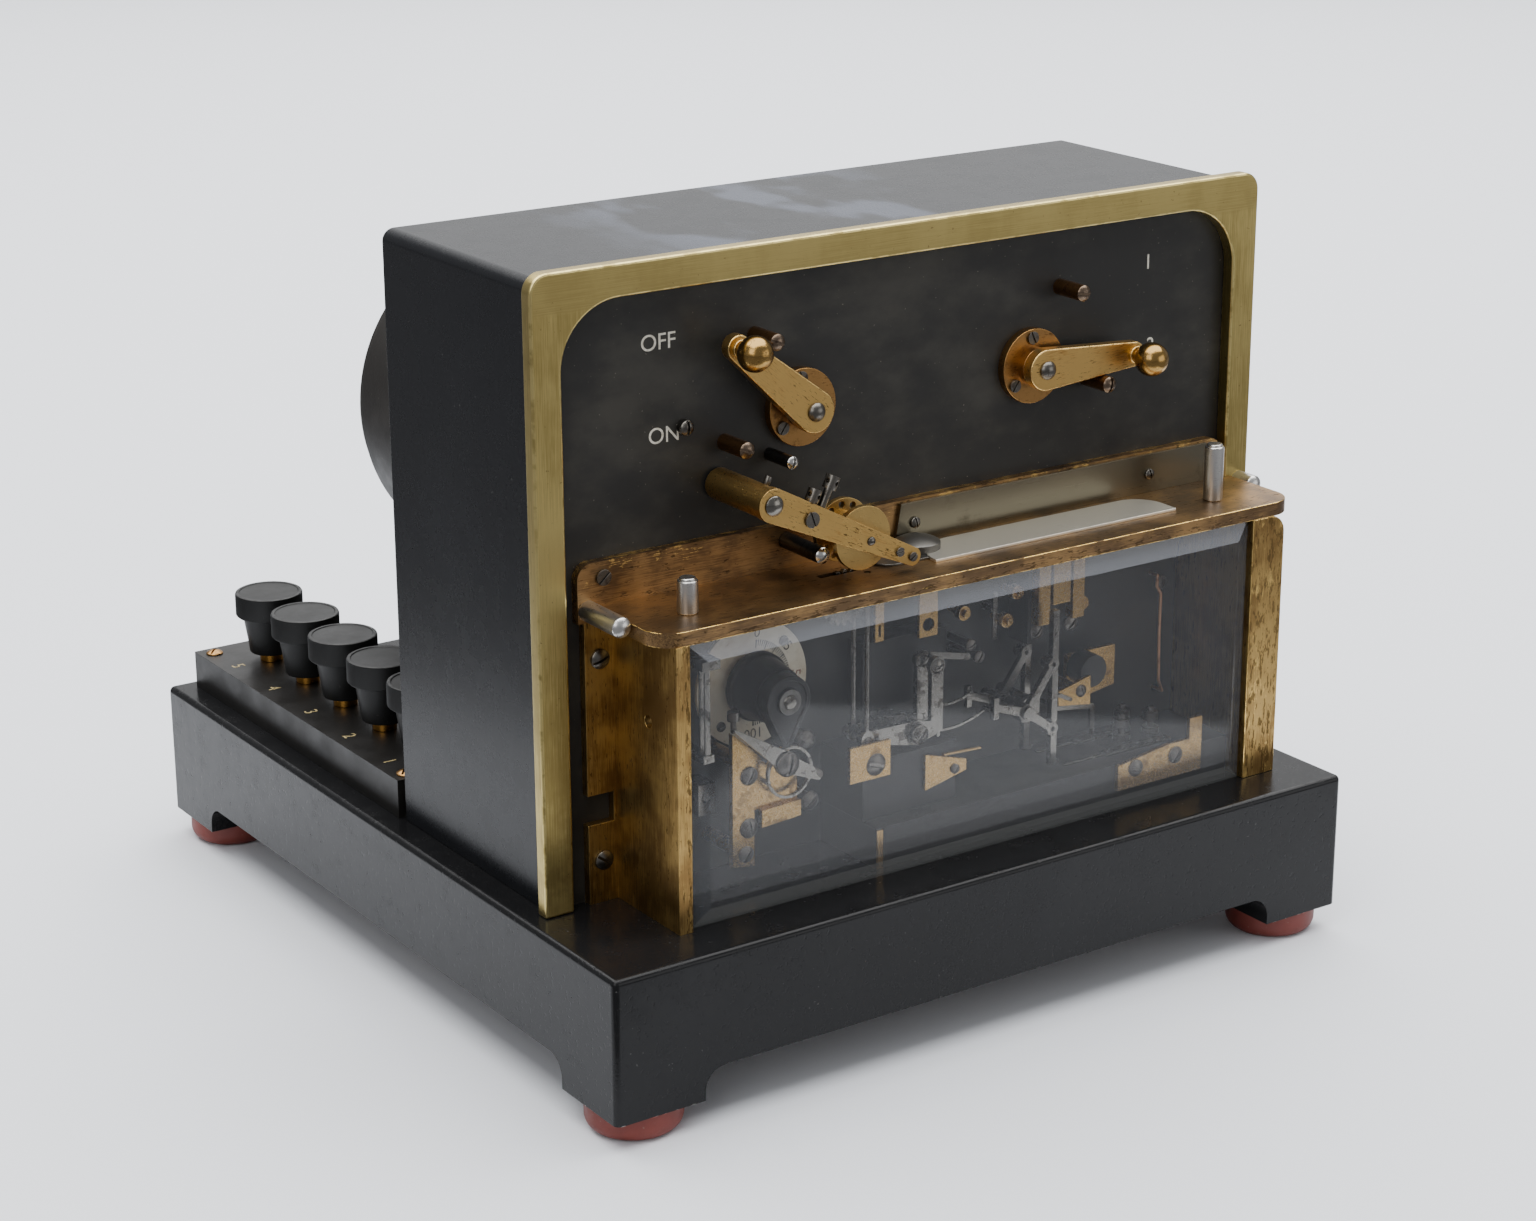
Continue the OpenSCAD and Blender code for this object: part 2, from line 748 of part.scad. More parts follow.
// An upright steel pin with a stepped top and a spigot below
module upright_pin(p, h) translate([p[0], p[1], deck_z]) {
  cylinder(d = pin_d, h = h - pin_neck);
  translate([0, 0, h - pin_neck]) cylinder(d = pin_d - 1.2, h = pin_neck);
  translate([0, 0, -deck_t]) cylinder(r = pin_spigot_r, h = deck_t + eps);
}

// A level steel pin with a domed front end, from y0 back to y1
module side_pin(p, y0, y1) {
  dome = 1.8;
  bar_y(p, pin_d / 2, y0 + dome, y1);
  intersection() {
    translate([p[0], y0 + 4, p[1]]) sphere(r = 4);
    bar_y(p, pin_d / 2, y0, y0 + dome + eps);
  }
}

module guide_pins() color(steel)
  at_datum() {
    upright_pin(short_pin, pin_short);
    upright_pin(tall_pin, pin_tall);
    side_pin(left_side_pin, flange_y - pin_side, flange_y);
    bar_y(left_side_pin, pin_spigot_r, flange_y - eps, case_front);
    side_pin(right_side_pin, case_front - bezel_t - right_pin_l, case_front - bezel_t);
  }

module tape_back_plate() color(nickel)
  at_datum() difference() {
    top = deck_z + flange_h - 0.7;
    front_plate(flange_y - nickel_t, nickel_t)
      polygon([[guide_x - 2.4, deck_z], [guide_x + guide_l, deck_z],
        [guide_x + guide_l, top], [guide_x, top]]);
    for (p = guide_screws) bar_y(p, panel_screw_r + shank_gap, flange_y - 5, flange_y + 1);
  }

// The bed's outline, widened by grow on all sides
module bed2d(grow = 0)
  translate([bed_x, bed_y]) intersection() {
    translate([-grow, -grow]) square([bed_l + 2 * grow, bed_w + 2 * grow]);
    union() {
      translate([bed_w, 0]) circle(bed_w + grow);
      translate([bed_l - bed_r, bed_w - bed_r]) circle(bed_r + grow);
      translate([bed_w, -grow]) square([bed_l - bed_w - bed_r, bed_w + 2 * grow]);
      translate([bed_w, -grow]) square([bed_l, bed_w - bed_r + grow]);
    }
  }

module tape_bed() color(nickel)
  at_datum() translate([0, 0, deck_z]) linear_extrude(bed_t) bed2d();

module tape_shoe() color(steel)
  at_datum() difference() {
    translate([shoe_at[0], shoe_at[1], deck_z]) {
      intersection() {
        cylinder(r = shoe_r, h = shoe_h);
        translate([0, 0, shoe_h - shoe_dome_r]) sphere(shoe_dome_r);
      }
      translate([tail_at[0], tail_at[1], 0]) linear_extrude(tail_t) {
        circle(tail_r);
        translate([0, -tail_r]) square([-tail_at[0], 2 * tail_r]);
      }
    }
    translate([0, 0, deck_z - 1]) linear_extrude(1 + bed_t) bed2d(face_gap);
  }

// Posts and glass

post_flange_t = 3;
post_front_w = 13.7;
post_front_t = 3.5;
post_front_r = 6;
post_notch_z = 25.6;
post_notch_h = 9.5;
post_hole = [32.3, 62.7];
post_hole_r = 2;
glass_gap = 0.3;
glass_x0 = post_left + post_t + glass_gap;
glass_x1 = post_right - glass_gap;
glass_h = deck_low - glass_gap;

// A post's wall, running back from the glass to the panel
module post_wall(x) block(x, 0, post_t, deck_low, glass_y, case_front);

module post_screw_holes()
  for (p = post_screws) bar_y(p, panel_screw_r + shank_gap, case_front - 4, case_front + 1);

module left_post() color(old_brass)
  at_datum() difference() {
    union() {
      post_wall(post_left);
      block(post_left - post_flange, 0, post_flange + eps, deck_low,
        case_front - post_flange_t, case_front);
    }
    block(post_left - post_flange - 1, post_notch_z, post_flange, post_notch_h,
      case_front - 4, case_front + 1);
    post_screw_holes();
    translate([post_left - 1, post_hole[0], post_hole[1]]) rotate([0, 90, 0])
      cylinder(r = post_hole_r, h = post_t + 2);
  }

module right_post() color(old_brass)
  at_datum() difference() {
    union() {
      post_wall(post_right);
      front_plate(glass_y, post_front_t)
        translate([post_right, 0]) difference() {
          square([post_front_w, deck_low]);
          translate([post_front_w - post_front_r, deck_low - post_front_r])
            difference() {
              square(post_front_r + 1);
              circle(post_front_r);
            }
        }
      block(post_right, 0, post_t + post_flange, deck_low, case_front - post_flange_t, case_front);
    }
    post_screw_holes();
  }

module front_glass() color([0.7, 0.78, 0.8, 0.35])
  at_datum() difference() {
    // depth of the bevel's slope where it is carried 1 mm past the edge
    past = bevel_d * (bevel_w + 1) / bevel_w;
    block(glass_x0, 0, glass_x1 - glass_x0, glass_h, glass_y, glass_y + glass_t);
    for (e = [0, 1]) {
      translate([e == 0 ? glass_x0 : glass_x1, glass_y, -1]) mirror([e, 0, 0])
        linear_extrude(glass_h + 2)
        polygon([[-1, -1], [bevel_w, -1], [bevel_w, 0], [-1, past]]);
      translate([glass_x0 - 1, glass_y, e == 0 ? 0 : glass_h]) mirror([0, 0, e])
        rotate([90, 0, 90]) linear_extrude(glass_x1 - glass_x0 + 2)
        polygon([[-1, -1], [past, -1], [0, bevel_w], [-1, bevel_w]]);
    }
  }

// Speed dial and its brackets

dial_y = 50;
dial_t = 1.2;
dial_foot_r = 2.4;
dial_hole_r = 3.2;

// Knob, from its back face forwards: skirt, cone, pointer, nut and dome
knob_back = 48.5;
knob_front = 30;
skirt_r = 13;
skirt_h = 3;
cone_r = 12;
cone_top_r = 8.5;
pointer_r = 8;
pointer_t = 5.5;
pointer_tip = [-0.5, -13];
pointer_tip_r = 2;
nut_r = 4.2;
nut_h = 1.2;
dome_r = 2;
dome_h = 0.8;
dial_collar_r = 5;
dial_shaft_end = panel_back + 6;

module speed_dial() color("#d8d2c0")
  at_datum() difference() {
    union() {
      bar_y(dial_at, dial_r, dial_y, dial_y + dial_t);
      for (p = dial_screws) bar_y(p, dial_foot_r, dial_y, case_front);
    }
    bar_y(dial_at, dial_hole_r, dial_y - 1, dial_y + 5);
    for (p = dial_screws) bar_y(p, dial_screw_r + shank_gap, dial_y - 1, case_front + 1);
  }

module speed_knob() color(black)
  at_datum() {
    knob_h = knob_back - knob_front;
    facing(dial_at, knob_back) {
      cylinder(r = skirt_r, h = skirt_h);
      translate([0, 0, skirt_h])
        cylinder(r1 = cone_r, r2 = cone_top_r, h = knob_h - pointer_t - skirt_h);
      translate([0, 0, knob_h - pointer_t]) linear_extrude(pointer_t)
        link2d([0, 0], pointer_tip, pointer_r, pointer_tip_r);
      translate([0, 0, knob_h]) cylinder(r = nut_r, h = nut_h);
      translate([0, 0, knob_h + nut_h]) cylinder(r = dome_r, h = dome_h);
    }
    bar_y(dial_at, dial_shaft_r, knob_back - eps, dial_shaft_end);
    bar_y(dial_at, dial_collar_r, panel_back + 0.3, dial_shaft_end);
  }

// Plate that carries the sprung lever, its screws (place, head and turn) and its feet
plate_y = 36;
plate_t = 2;
plate_screws = [[-71.6, 36, 3, 60], [-71.7, 19, 3.2, 100], [-72.9, 10.7, 2.6, 50]];
plate_feet = [[-74.8, 12], [-74.8, 41], [-57, 28]];
plate_foot_r = 2.4;
lever_axis = [-61.2, 39.3];
lever_pivot_r = 1.6;
jockey_y = 30.5;
jockey_t = 1.6;

module lever_bracket() color(brass)
  at_datum() difference() {
    union() {
      front_plate(plate_y, plate_t)
        polygon([[-77.4, 50.6], [-77.6, 7.3], [-69.7, 6.2], [-69.6, 24.4], [-53.9, 24.8],
          [-53.9, 36], [-58, 43], [-64.3, 37.4], [-70, 44]]);
      front_plate(plate_y - 2, 2 + eps)
        polygon([[-68.1, 18.9], [-53.7, 19.8], [-53.7, 25], [-68.1, 24.4]]);
      for (p = plate_feet) pillar(p, plate_foot_r, plate_y + plate_t - eps);
    }
    for (p = plate_screws) bar_y(p, small_shank_r + shank_gap, plate_y - 3, plate_y + 3);
    bar_y(lever_axis, lever_pivot_r + shank_gap, plate_y - 3, plate_y + 3);
  }

// The sprung lever that bears on the speed knob's shaft
module jockey_lever() color(steel)
  at_datum() difference() {
    front_plate(jockey_y, jockey_t) {
      polygon([[-80.4, 54.6], [-79.8, 53.2], [-62, 36.2], [-57.4, 38.4], [-60.5, 43]]);
      translate(lever_axis) circle(3.9);
      link2d(lever_axis, [-49.5, 33.2], 3, 1.6);
    }
    bar_y(lever_axis, lever_pivot_r + fit, jockey_y - 1, jockey_y + 3);
  }

// Screws of the mechanism

small_shank_r = 1;
relay_y = 44;
relay_screws = [[45.7, 57.3], [59.8, 57.4]];
bracket_y = 22.4;
bracket_screws = [[71, 11.3, -15], [88, 12.2, 50]];
bracket_screw_r = 1.3;
crank_plate_y = 29.8;
crank_plate_t = 1.4;
crank_screws = [[-28.4, 32.1, 4.3, -20], [2.3, 24, 1.6, 45]];
block_shank_r = 1.2;
quad_y = 36;
quad_screw = [58.4, 36.6];
pivot_head = 30.2;
post_places = [[80.5, 41], [93, 41], [86.5, 48]];
// slotted studs: place, head and turn
stud_places = [[-47.3, 41, 3.2, -30], [-46.1, 20.7, 3.2, 40], [15.8, 59.6, 2, 20], [19.3, 55, 2, 60]];
stud_y = 40.5;
adjuster = [-76.4, 50.65];

module mech_screws() color("#8d8b84")
  at_datum() {
    for (s = plate_screws)
      facing(s, plate_y) screw(s[2], 1.6, small_shank_r, plate_t, s[3], true);
    // pivot screw of the sprung lever, with the collar behind the lever
    facing(lever_axis, pivot_head) {
      screw(4, 2, lever_pivot_r, plate_y - pivot_head, 75, true);
      translate([0, 0, pivot_head - plate_y]) cylinder(r = 2.8, h = 3.7);
    }
    for (p = dial_screws)
      facing(p, dial_y) screw(1.6, 0.6, dial_screw_r, dial_t + 6, 30);
    for (p = relay_screws)
      facing(p, relay_y) screw(2.7, 1.4, block_shank_r, 6, 45, true);
    for (p = bracket_screws)
      facing(p, bracket_y) screw(2.9, 1.5, bracket_screw_r, 8, p[2], true);
    for (p = crank_screws)
      facing(p, crank_plate_y) screw(p[2], 1.2, block_shank_r, 8, p[3], true);
    facing(quad_screw, quad_y) screw(2.1, 1.1, small_shank_r, 6, 110, true);
    for (p = post_places) translate([p[0], p[1], shelf_h]) binding_post();
    facing(wire_screw, case_front)
      screw(2.6, 1.2, wire_screw_r, panel_t, 90, true);
    for (p = stud_places) {
      pillar(p, p[2] * 0.7, stud_y);
      facing(p, stud_y) screw(p[2], 1.6, small_shank_r, 0.5, p[3], true);
    }
    // knurled adjusting screw on the lever plate
    translate([adjuster[0], plate_y + 1, adjuster[1]]) {
      cylinder(r = 0.9, h = 4);
      translate([0, 0, 3.9]) cylinder(r = 1.9, h = 3);
    }
  }

// A small round nut and stud on the insulating block
module binding_post() {
  cylinder(r = 3, h = 2.2);
  cylinder(r = 1.2, h = 9);
  translate([0, 0, 4.5]) cylinder(r = 2.6, h = 3);
}

// Springs

// Two upright leaves in a clip: their place, size and depths
leaf_x = -84.6;
leaf_low = 44;
leaf_l = 27;
leaf_t = 0.5;
leaf_depths = [40, 43];
clip_y = 39.5;
// Small contact block below them, and its screw
side_contact = [-84, 22.5];
side_contact_y = 45;
// Ring spring round the sprung lever's pivot
ring_at = [-58.7, 35.4];
ring_r = 8.4;
ring_t = 0.9;
ring_y = 32.5;

module contact_springs() color(steel)
  at_datum() {
    for (y = leaf_depths) block(leaf_x, leaf_low, 2, leaf_l, y, y + leaf_t);
    block(leaf_x - 1, leaf_low - 2.5, 4, 2.5, clip_y, case_front);
    block(leaf_x - 1, leaf_low + leaf_l, 6.5, 3, clip_y, case_front);
    block(side_contact[0], side_contact[1], 6, 10, side_contact_y, case_front);
    facing([side_contact[0] + 3, side_contact[1] + 5.4], side_contact_y)
      screw(1.7, 0.9, 0.8, 0.5, 80, true);
    difference() {
      bar_y(ring_at, ring_r, ring_y, plate_y - 2.2);
      bar_y(ring_at, ring_r - ring_t, ring_y - 0.5, plate_y);
    }
    bar_y([ring_at[0] - 7.7, ring_at[1] - 2], 0.8, ring_y + 0.5, plate_y);
    // contact blade and its two terminals above the cranks
    translate([-2.5, 37.4, 59.6]) rotate([0, 13, 0]) cube([16, 1, 2]);
    pillar([13, 57], 1.2, 37.8);
    pillar([31.9, 66], 1.2, 48.5);
    block(31, 56, 1.8, 16, 48, 48.6);
  }

// Contact mechanism

shelf_x = -32.5;
shelf_l = post_right - 1 - shelf_x;
shelf_front = 24;
crank_block_w = 36.5;
crank_block_h = 19.5;

module mech_shelf() color("#2a2a2a")
  at_datum() difference() {
    block(shelf_x, 0, shelf_l, shelf_h, shelf_front, case_front);
    for (p = bracket_screws) bar_y(p, bracket_screw_r, shelf_front - 1, bracket_y + 8);
  }

module crank_block() color(black)
  at_datum() difference() {
    block(shelf_x, shelf_h, crank_block_w, crank_block_h, crank_plate_y + crank_plate_t, case_front);
    for (p = crank_screws) bar_y(p, block_shank_r, crank_plate_y, crank_plate_y + 8);
  }

module crank_plates() color(brass)
  at_datum() {
    difference() {
      front_plate(crank_plate_y, crank_plate_t) {
        translate([-38.2, 27.5]) square([15.4, 11.8]);
        polygon([[-9.2, 31], [-9.2, 19], [1.6, 21.4], [7, 22.6], [7, 26.3]]);
      }
      for (p = crank_screws) bar_y(p, block_shank_r, crank_plate_y - 1, crank_plate_y + 3);
    }
    // thin contact blade lying on the right plate
    translate([-2, crank_plate_y, 29]) rotate([0, 3, 0]) cube([15, crank_plate_t, 0.8]);
  }

// Depths of the bell cranks, their eye pins and the rockers, front one first
crank_depths = [33.4, 41];
eye_depths = [31.6, 38.7];
rocker_depths = [32, 46];
crank_t = 2;
rocker_t = 2;
eye_r = 0.8;
eye_z = 40;
pecker_l = 52.6;

module pivot_spindles() color(steel)
  at_datum() {
    // bell cranks' spindle: screw head, shank, spacer and collar
    bar_y(crank_at, crank_spindle_r, 31.4, panel_back);
    facing(crank_at, 31.4) screw(3.2, 1.5, 1, eps * 2, 50, true);
    bar_y(crank_at, 3, 37.1, 39.9);
    pillar(crank_at, 3.4, 44.6);
    // rockers' spindle: shank, washer, spacer and collar
    bar_y(rocker_at, rocker_spindle_r, 31, panel_back);
    bar_y(rocker_at, 2.4, 30.6, 31.6);
    bar_y(rocker_at, 2.6, 34.7, 45.3);
    pillar(rocker_at, 2.6, 48.7);
    // stay between the rockers, with its own pillar and pin
    front_plate(36, 2) polygon([[41.3, 40], [41.3, 31], [31, 33.6], [31, 37.2]]);
    pillar([39, 36.6], 1.7, 37.9);
    bar_y([39, 36.6], 1, 35.3, 36.1);
  }

// A bell crank seen from the front, with an eye pin at its left end
module bell_crank(i) {
  y = crank_depths[i];
  difference() {
    union() {
      front_plate(y, crank_t) {
        link2d(crank_at, [pecker_x, eye_z], 4, 1.9);
        link2d(crank_at, [-3.6, 37.6], 4, 2.4);
        translate([-4.4, 36]) square([4.5, 22]);
        translate([-2.15, 58]) circle(2.9);
        translate([-2.1, 34.5]) square([1.2, 4]);
      }
      bar_y(crank_at, 3.6, y - 0.9, y + 3.6);
      bar_y([pecker_x, eye_z], eye_r, eye_depths[i], y + 1);
      facing([-2.15, 58], y) screw(2.4, 1.2, 1, 0.5, 30, true);
    }
    bar_y(crank_at, crank_spindle_r + fit, y - 2, y + 5);
  }
}

module bell_crank_front() color(steel) at_datum() bell_crank(0);
module bell_crank_rear() color(steel) at_datum() bell_crank(1);

// An upright rod with a slotted foot at its lower end
module pecker(y) {
  foot_t = 1.4;
  rod_low = eye_z + 1.4;
  slot = 0.8;
  slot_r = eye_r + 0.15;
  difference() {
    union() {
      translate([pecker_x, y, rod_low]) cylinder(d = pecker_d, h = pecker_l);
      front_plate(y - foot_t / 2, foot_t)
        link2d([pecker_x, eye_z], [pecker_x, rod_low + 0.2], 2.4, 1.4);
    }
    front_plate(y - 2, 4) {
      translate([pecker_x - slot / 2, eye_z - slot_r]) square([slot, 2 * slot_r]);
      for (e = [-slot / 2, slot / 2]) translate([pecker_x + e, eye_z]) circle(slot_r);
    }
  }
}

module pecker_front() color(steel) at_datum() pecker(pecker_front_y);
module pecker_rear() color(steel) at_datum() pecker(pecker_rear_y);

// A forked rocker: two arms, a fork and an upright contact bar behind them
module rocker(y, bar_low, bar_high) {
  ears = [[43.6, 49.8], [43.7, 27.7]];
  bar_x = 44.7;
  difference() {
    union() {
      front_plate(y, rocker_t) {
        for (e = ears) link2d(rocker_at, e, 1.5, 1.2);
        translate(rocker_at) circle(3);
        link2d(rocker_at, [21, 39.5], 1.6, 1.2);
        translate([19.5, 35.8]) square([2, 7.2]);
      }
      for (e = ears) bar_y(e, 2.2, y, y + 4.4);
      bar_y(rocker_at, 3, y, y + 2.6);
      block(bar_x, bar_low + 1, 2.4, bar_high - bar_low - 1, y + rocker_t, y + 4.4);
      block(bar_x, bar_low, 3.5, 1.5, y + rocker_t, y + 4.4);
    }
    bar_y(rocker_at, rocker_spindle_r + fit, y - 1, y + 3);
    for (e = ears) bar_y(e, 0.8, y - 1, y + 1);
  }
}

// A thin wire bent through a list of points on one plane
module bent_wire(points, y, r) {
  for (i = [0:len(points) - 2]) {
    a = points[i];
    b = points[i + 1];
    translate([a[0], y, a[1]]) rotate([0, 90 - heading(a, b), 0]) cylinder(r = r, h = norm(b - a));
  }
  for (p = points) translate([p[0], y, p[1]]) sphere(r = r * 1.06);
}

// A thin sagging leaf spring between two points, with its front at y
module sagging_leaf(a, b, depth, y) {
  n = 6;
  points = [for (i = [0:n]) a + (b - a) * i / n - [0, depth * 4 * i / n * (1 - i / n)]];
  front_plate(y, 0.8) for (i = [0:n - 1]) link2d(points[i], points[i + 1], 0.4, 0.4);
}

// The fork's pin and the leaf that hangs from it to the contact above the cranks
module fork_leaf(z, pin_y0, pin_y1, end, sag, y) {
  fork_x = 20.5;
  bar_y([fork_x, z], eye_r, pin_y0, pin_y1);
  sagging_leaf([fork_x, z], end, sag, y);
}

module rocker_front() color(steel)
  at_datum() {
    rocker(rocker_depths[0], 14.2, 67);
    fork_leaf(38, 33, 38.4, [1.5, 34.6], 1.6, 37.4);
  }

module rocker_rear() color(steel)
  at_datum() {
    rocker(rocker_depths[1], 15, 51.5);
    fork_leaf(41, 45, 47, [1.5, 41.5], 2.2, 45.2);
  }

// Relay block, contact plates and wires

// The three brass tongues below the deck: left edge, foot and width
tongue_x = [43.3, 49.2, 57.4];
tongue_z = [60.4, 66.5, 60.4];
tongue_w = [4.8, 7.2, 4.8];
tongue_top = deck_low - 0.4;
tongue_t = 4;

module relay_block() color(black)
  at_datum() {
    difference() {
      block(42, 53.5, 22, 26.5, relay_y, case_front);
      for (p = relay_screws) bar_y(p, block_shank_r, relay_y - 1, relay_y + 6);
    }
    // dark housing behind the bell cranks
    block(-22, 43, 33, 22.5, 46, case_front);
    // round insulator on the rear plate
    bar_y([65.8, 41], 5.5, 38.6, 46);
  }

module relay_posts() color(brass)
  at_datum() {
    for (i = [0:2])
      block(tongue_x[i], tongue_z[i], tongue_w[i], tongue_top - tongue_z[i],
        relay_y - tongue_t, relay_y);
    for (p = [[66.7, 62.3], [35.4, 62.2], [39.6, 71], [18, 68]]) {
      pillar(p, 1.2, 44.5);
      bar_y(p, 2.4, 46, 49);
    }
    // slotted tag and eyed plate above the cranks, each on its pillar
    difference() {
      front_plate(relay_y, 1.2) {
        translate([-18.6, 66]) square([3.3, tongue_top - 66]);
        translate([-1.5, 64]) square([7.2, tongue_top - 64]);
      }
      front_plate(relay_y - 1, 4) {
        translate([2.1, 68]) circle(2.2);
        translate([-17.4, 67.5]) square([0.9, 4]);
      }
    }
    for (x = [-17, 2.1]) pillar([x, 80], 1.6, relay_y + 1.1);
  }

module contact_bracket() color(brass)
  at_datum() {
    // stepped plate on the shelf's front
    difference() {
      front_plate(bracket_y, shelf_front - bracket_y) {
        translate([63.7, 4.7]) square([35.7, 8.8]);
        polygon([[63.7, 13.4], [99.4, 13.4], [99.4, 16.4], [85, 16.4]]);
        translate([94, 16.3]) square([5.4, 7.2]);
      }
      for (p = bracket_screws)
        bar_y(p, bracket_screw_r + shank_gap, bracket_y - 1, shelf_front + 1);
    }
    // edge strip at the left end of the shelf
    block(shelf_x, 0, 2.5, 13, shelf_front - 0.7, shelf_front);
    // plate behind the rockers with its two pillars
    front_plate(46, 2) polygon([[60.6, 45.4], [60.6, 32], [68, 29.4], [81, 31.5], [81, 45.4]]);
    for (p = [[77, 41], [70, 33]]) pillar(p, 2, 47.9);
    // four-sided bracket in front of it
    difference() {
      union() {
        front_plate(quad_y, 1.5) polygon([[62.5, 41.1], [62.6, 31], [49.3, 33.1], [48.7, 38]]);
        pillar(quad_screw, 1.8, quad_y + 1.4);
      }
      bar_y(quad_screw, small_shank_r, quad_y - 1, quad_y + 6);
    }
  }

// Flat strips on the shelf: depth, right end and start of the wide part
strips = [[32.2, 94, 66], [46.4, 82, 64]];
strip_x = 49.5;

module contact_strips() color(steel)
  at_datum() {
    for (s = strips) {
      translate([strip_x, s[0], shelf_h]) cube([s[2] - strip_x, 1.6, 0.6]);
      translate([s[2], s[0] - 1.2, shelf_h]) cube([s[1] - s[2], 4, 0.9]);
    }
    // steel frame below the rear plate
    front_plate(44.5, 1) {
      link2d([56.4, 28.4], [70.6, 26.3], 0.9, 0.9);
      link2d([70.6, 26.3], [71, 16.9], 0.9, 0.9);
    }
    pillar([56.4, 28.4], 0.7, 45);
    // pin across the four-sided bracket
    front_plate(34.8, 1.2) link2d([48.7, 37.3], [53.3, 35], 0.7, 0.7);
  }

// Bare wire beside the right post, from its screw down to its hole: distance in and height
wire_bends = [[11.1, 64.3], [11.2, 60.5], [9.4, 57.7], [9.5, 41.5], [9.1, 26.9],
  [wire_hole_in, wire_hole[1]]];
wire_run = [for (p = wire_bends) [post_right - p[0], p[1]]];
wire_y = 50;

// Wires below the plinth's top
lead_r = 0.9;
lead_ring = 4;
lead_side = 3.4;
lead_top = 14;
lead_low = 5;
lead_step = 3;

module connecting_wires() color("#b07a48")
  at_datum() {
    bent_wire(wire_run, wire_y, wire_d / 2);
    bar_y(wire_hole, wire_d / 2, wire_y, panel_back + 3);
    bar_y([wire_run[0][0], wire_run[0][1]], wire_d / 2, wire_y, case_front);
    for (i = [0:terminals - 1]) terminal_wire(i);
  }

// A wire below the plinth's top, from a terminal stud to the case
module terminal_wire(i) {
  x0 = term_x + lead_side;
  y0 = term_y(i);
  x1 = case_wire[0] + lead_ring * cos(72 * i);
  y1 = case_wire[1] + lead_ring * sin(72 * i);
  low = -plinth_top - lead_low - lead_step * i;
  translate([x0, y0, low]) cylinder(r = lead_r, h = -plinth_top - nut_under_h - low);
  translate([x0, y0, low]) rotate([0, 90, 0]) cylinder(r = lead_r, h = x1 - x0);
  translate([x1, y0, low]) rotate([90, 0, 0]) cylinder(r = lead_r, h = y0 - y1);
  translate([x1, y1, low]) cylinder(r = lead_r, h = lead_top - low);
  for (p = [[x0, y0], [x1, y0], [x1, y1]]) translate([p[0], p[1], low]) sphere(r = lead_r);
}

// Switches

key_rest = 0.2;
lever_collar_r = 5.5;
knob_stem_r = 2.2;

// A lever on its spindle with a ball knob, pointing along +x from its axis
module switch_lever(x, angle) {
  translate([x, 0, switch_z]) rotate([0, -angle, 0]) {
    front_plate(lever_front, lever_t) link2d([0, 0], [lever_l, 0], lever_root_r, lever_tip_r);
    bar_y([0, 0], spindle_r, lever_front - eps, spindle_end);
    bar_y([0, 0], lever_collar_r, panel_back + 2.3, spindle_end);
    intersection() {
      translate([0, lever_front + 1.5, 0]) sphere(r = spindle_r * 1.2);
      bar_y([0, 0], spindle_r, lever_front - 3, lever_front + eps);
    }
    bar_y([lever_l, 0], knob_stem_r, knob_y, lever_front + eps);
    bar_y([lever_l, 0], knob_stem_r + 0.8, lever_front - 1.4, lever_front + eps);
    bar_y([lever_l, 0], knob_stem_r + 0.9, knob_y + 3.2, knob_y + 5);
    translate([lever_l, knob_y, 0]) sphere(d = knob_d);
  }
}

module motor_switch_lever() color(brass) at_datum() switch_lever(motor_sw_x, motor_rest);
module key_switch_lever() color(brass) at_datum() switch_lever(key_sw_x, key_rest);

// Tape presser

// Capstan screws behind the arm (place along it and height), and the screws on its face
capstans = [[18, 5], [22.5, 10.6]];
capstan_y = 31;
capstan_r = 1.3;
root_screw = [14.8, 0];
root_screw_r = 1.2;
tip_screws = [[50.8, 0], [56.2, 0]];
tip_screw_r = 0.9;
wheel_at = [presser_wheel_at, 0];
// Block behind the arm that the capstan screws go through
arm_block = [14, 8.8, 5.6];
arm_block_x = 13;
arm_bite = 0.8;

// The arm's own frame: x along the arm, z across it
module on_arm() translate([presser_x, 0, presser_z]) rotate([0, presser_slope, 0]) children();

module presser_arm() color(brass)
  at_datum() on_arm() difference() {
    union() {
      front_plate(arm_front, arm_t) {
        link2d([0, 0], [presser_l, 0], arm_root_r, arm_tip_r - proud);
        translate([presser_l, 0]) circle(arm_tip_r);
      }
      bar_y([0, 0], hub_r, arm_front + arm_t - arm_bite, case_front - 1);
      translate([arm_block_x, arm_front + arm_t - arm_bite, -arm_block[2] / 2]) cube(arm_block);
    }
    bar_y([0, 0], presser_spindle_r + fit, arm_front - 1, case_front);
    for (c = capstans) translate([c[0], capstan_y, -4]) cylinder(r = capstan_r, h = 9);
    bar_y(wheel_at, wheel_axle_r, arm_front - 1, arm_front + arm_t + 1);
    bar_y(root_screw, root_screw_r, arm_front - 1, arm_front + 3);
    for (p = tip_screws) bar_y(p, tip_screw_r, arm_front - 1, arm_front + arm_t + 1);
  }

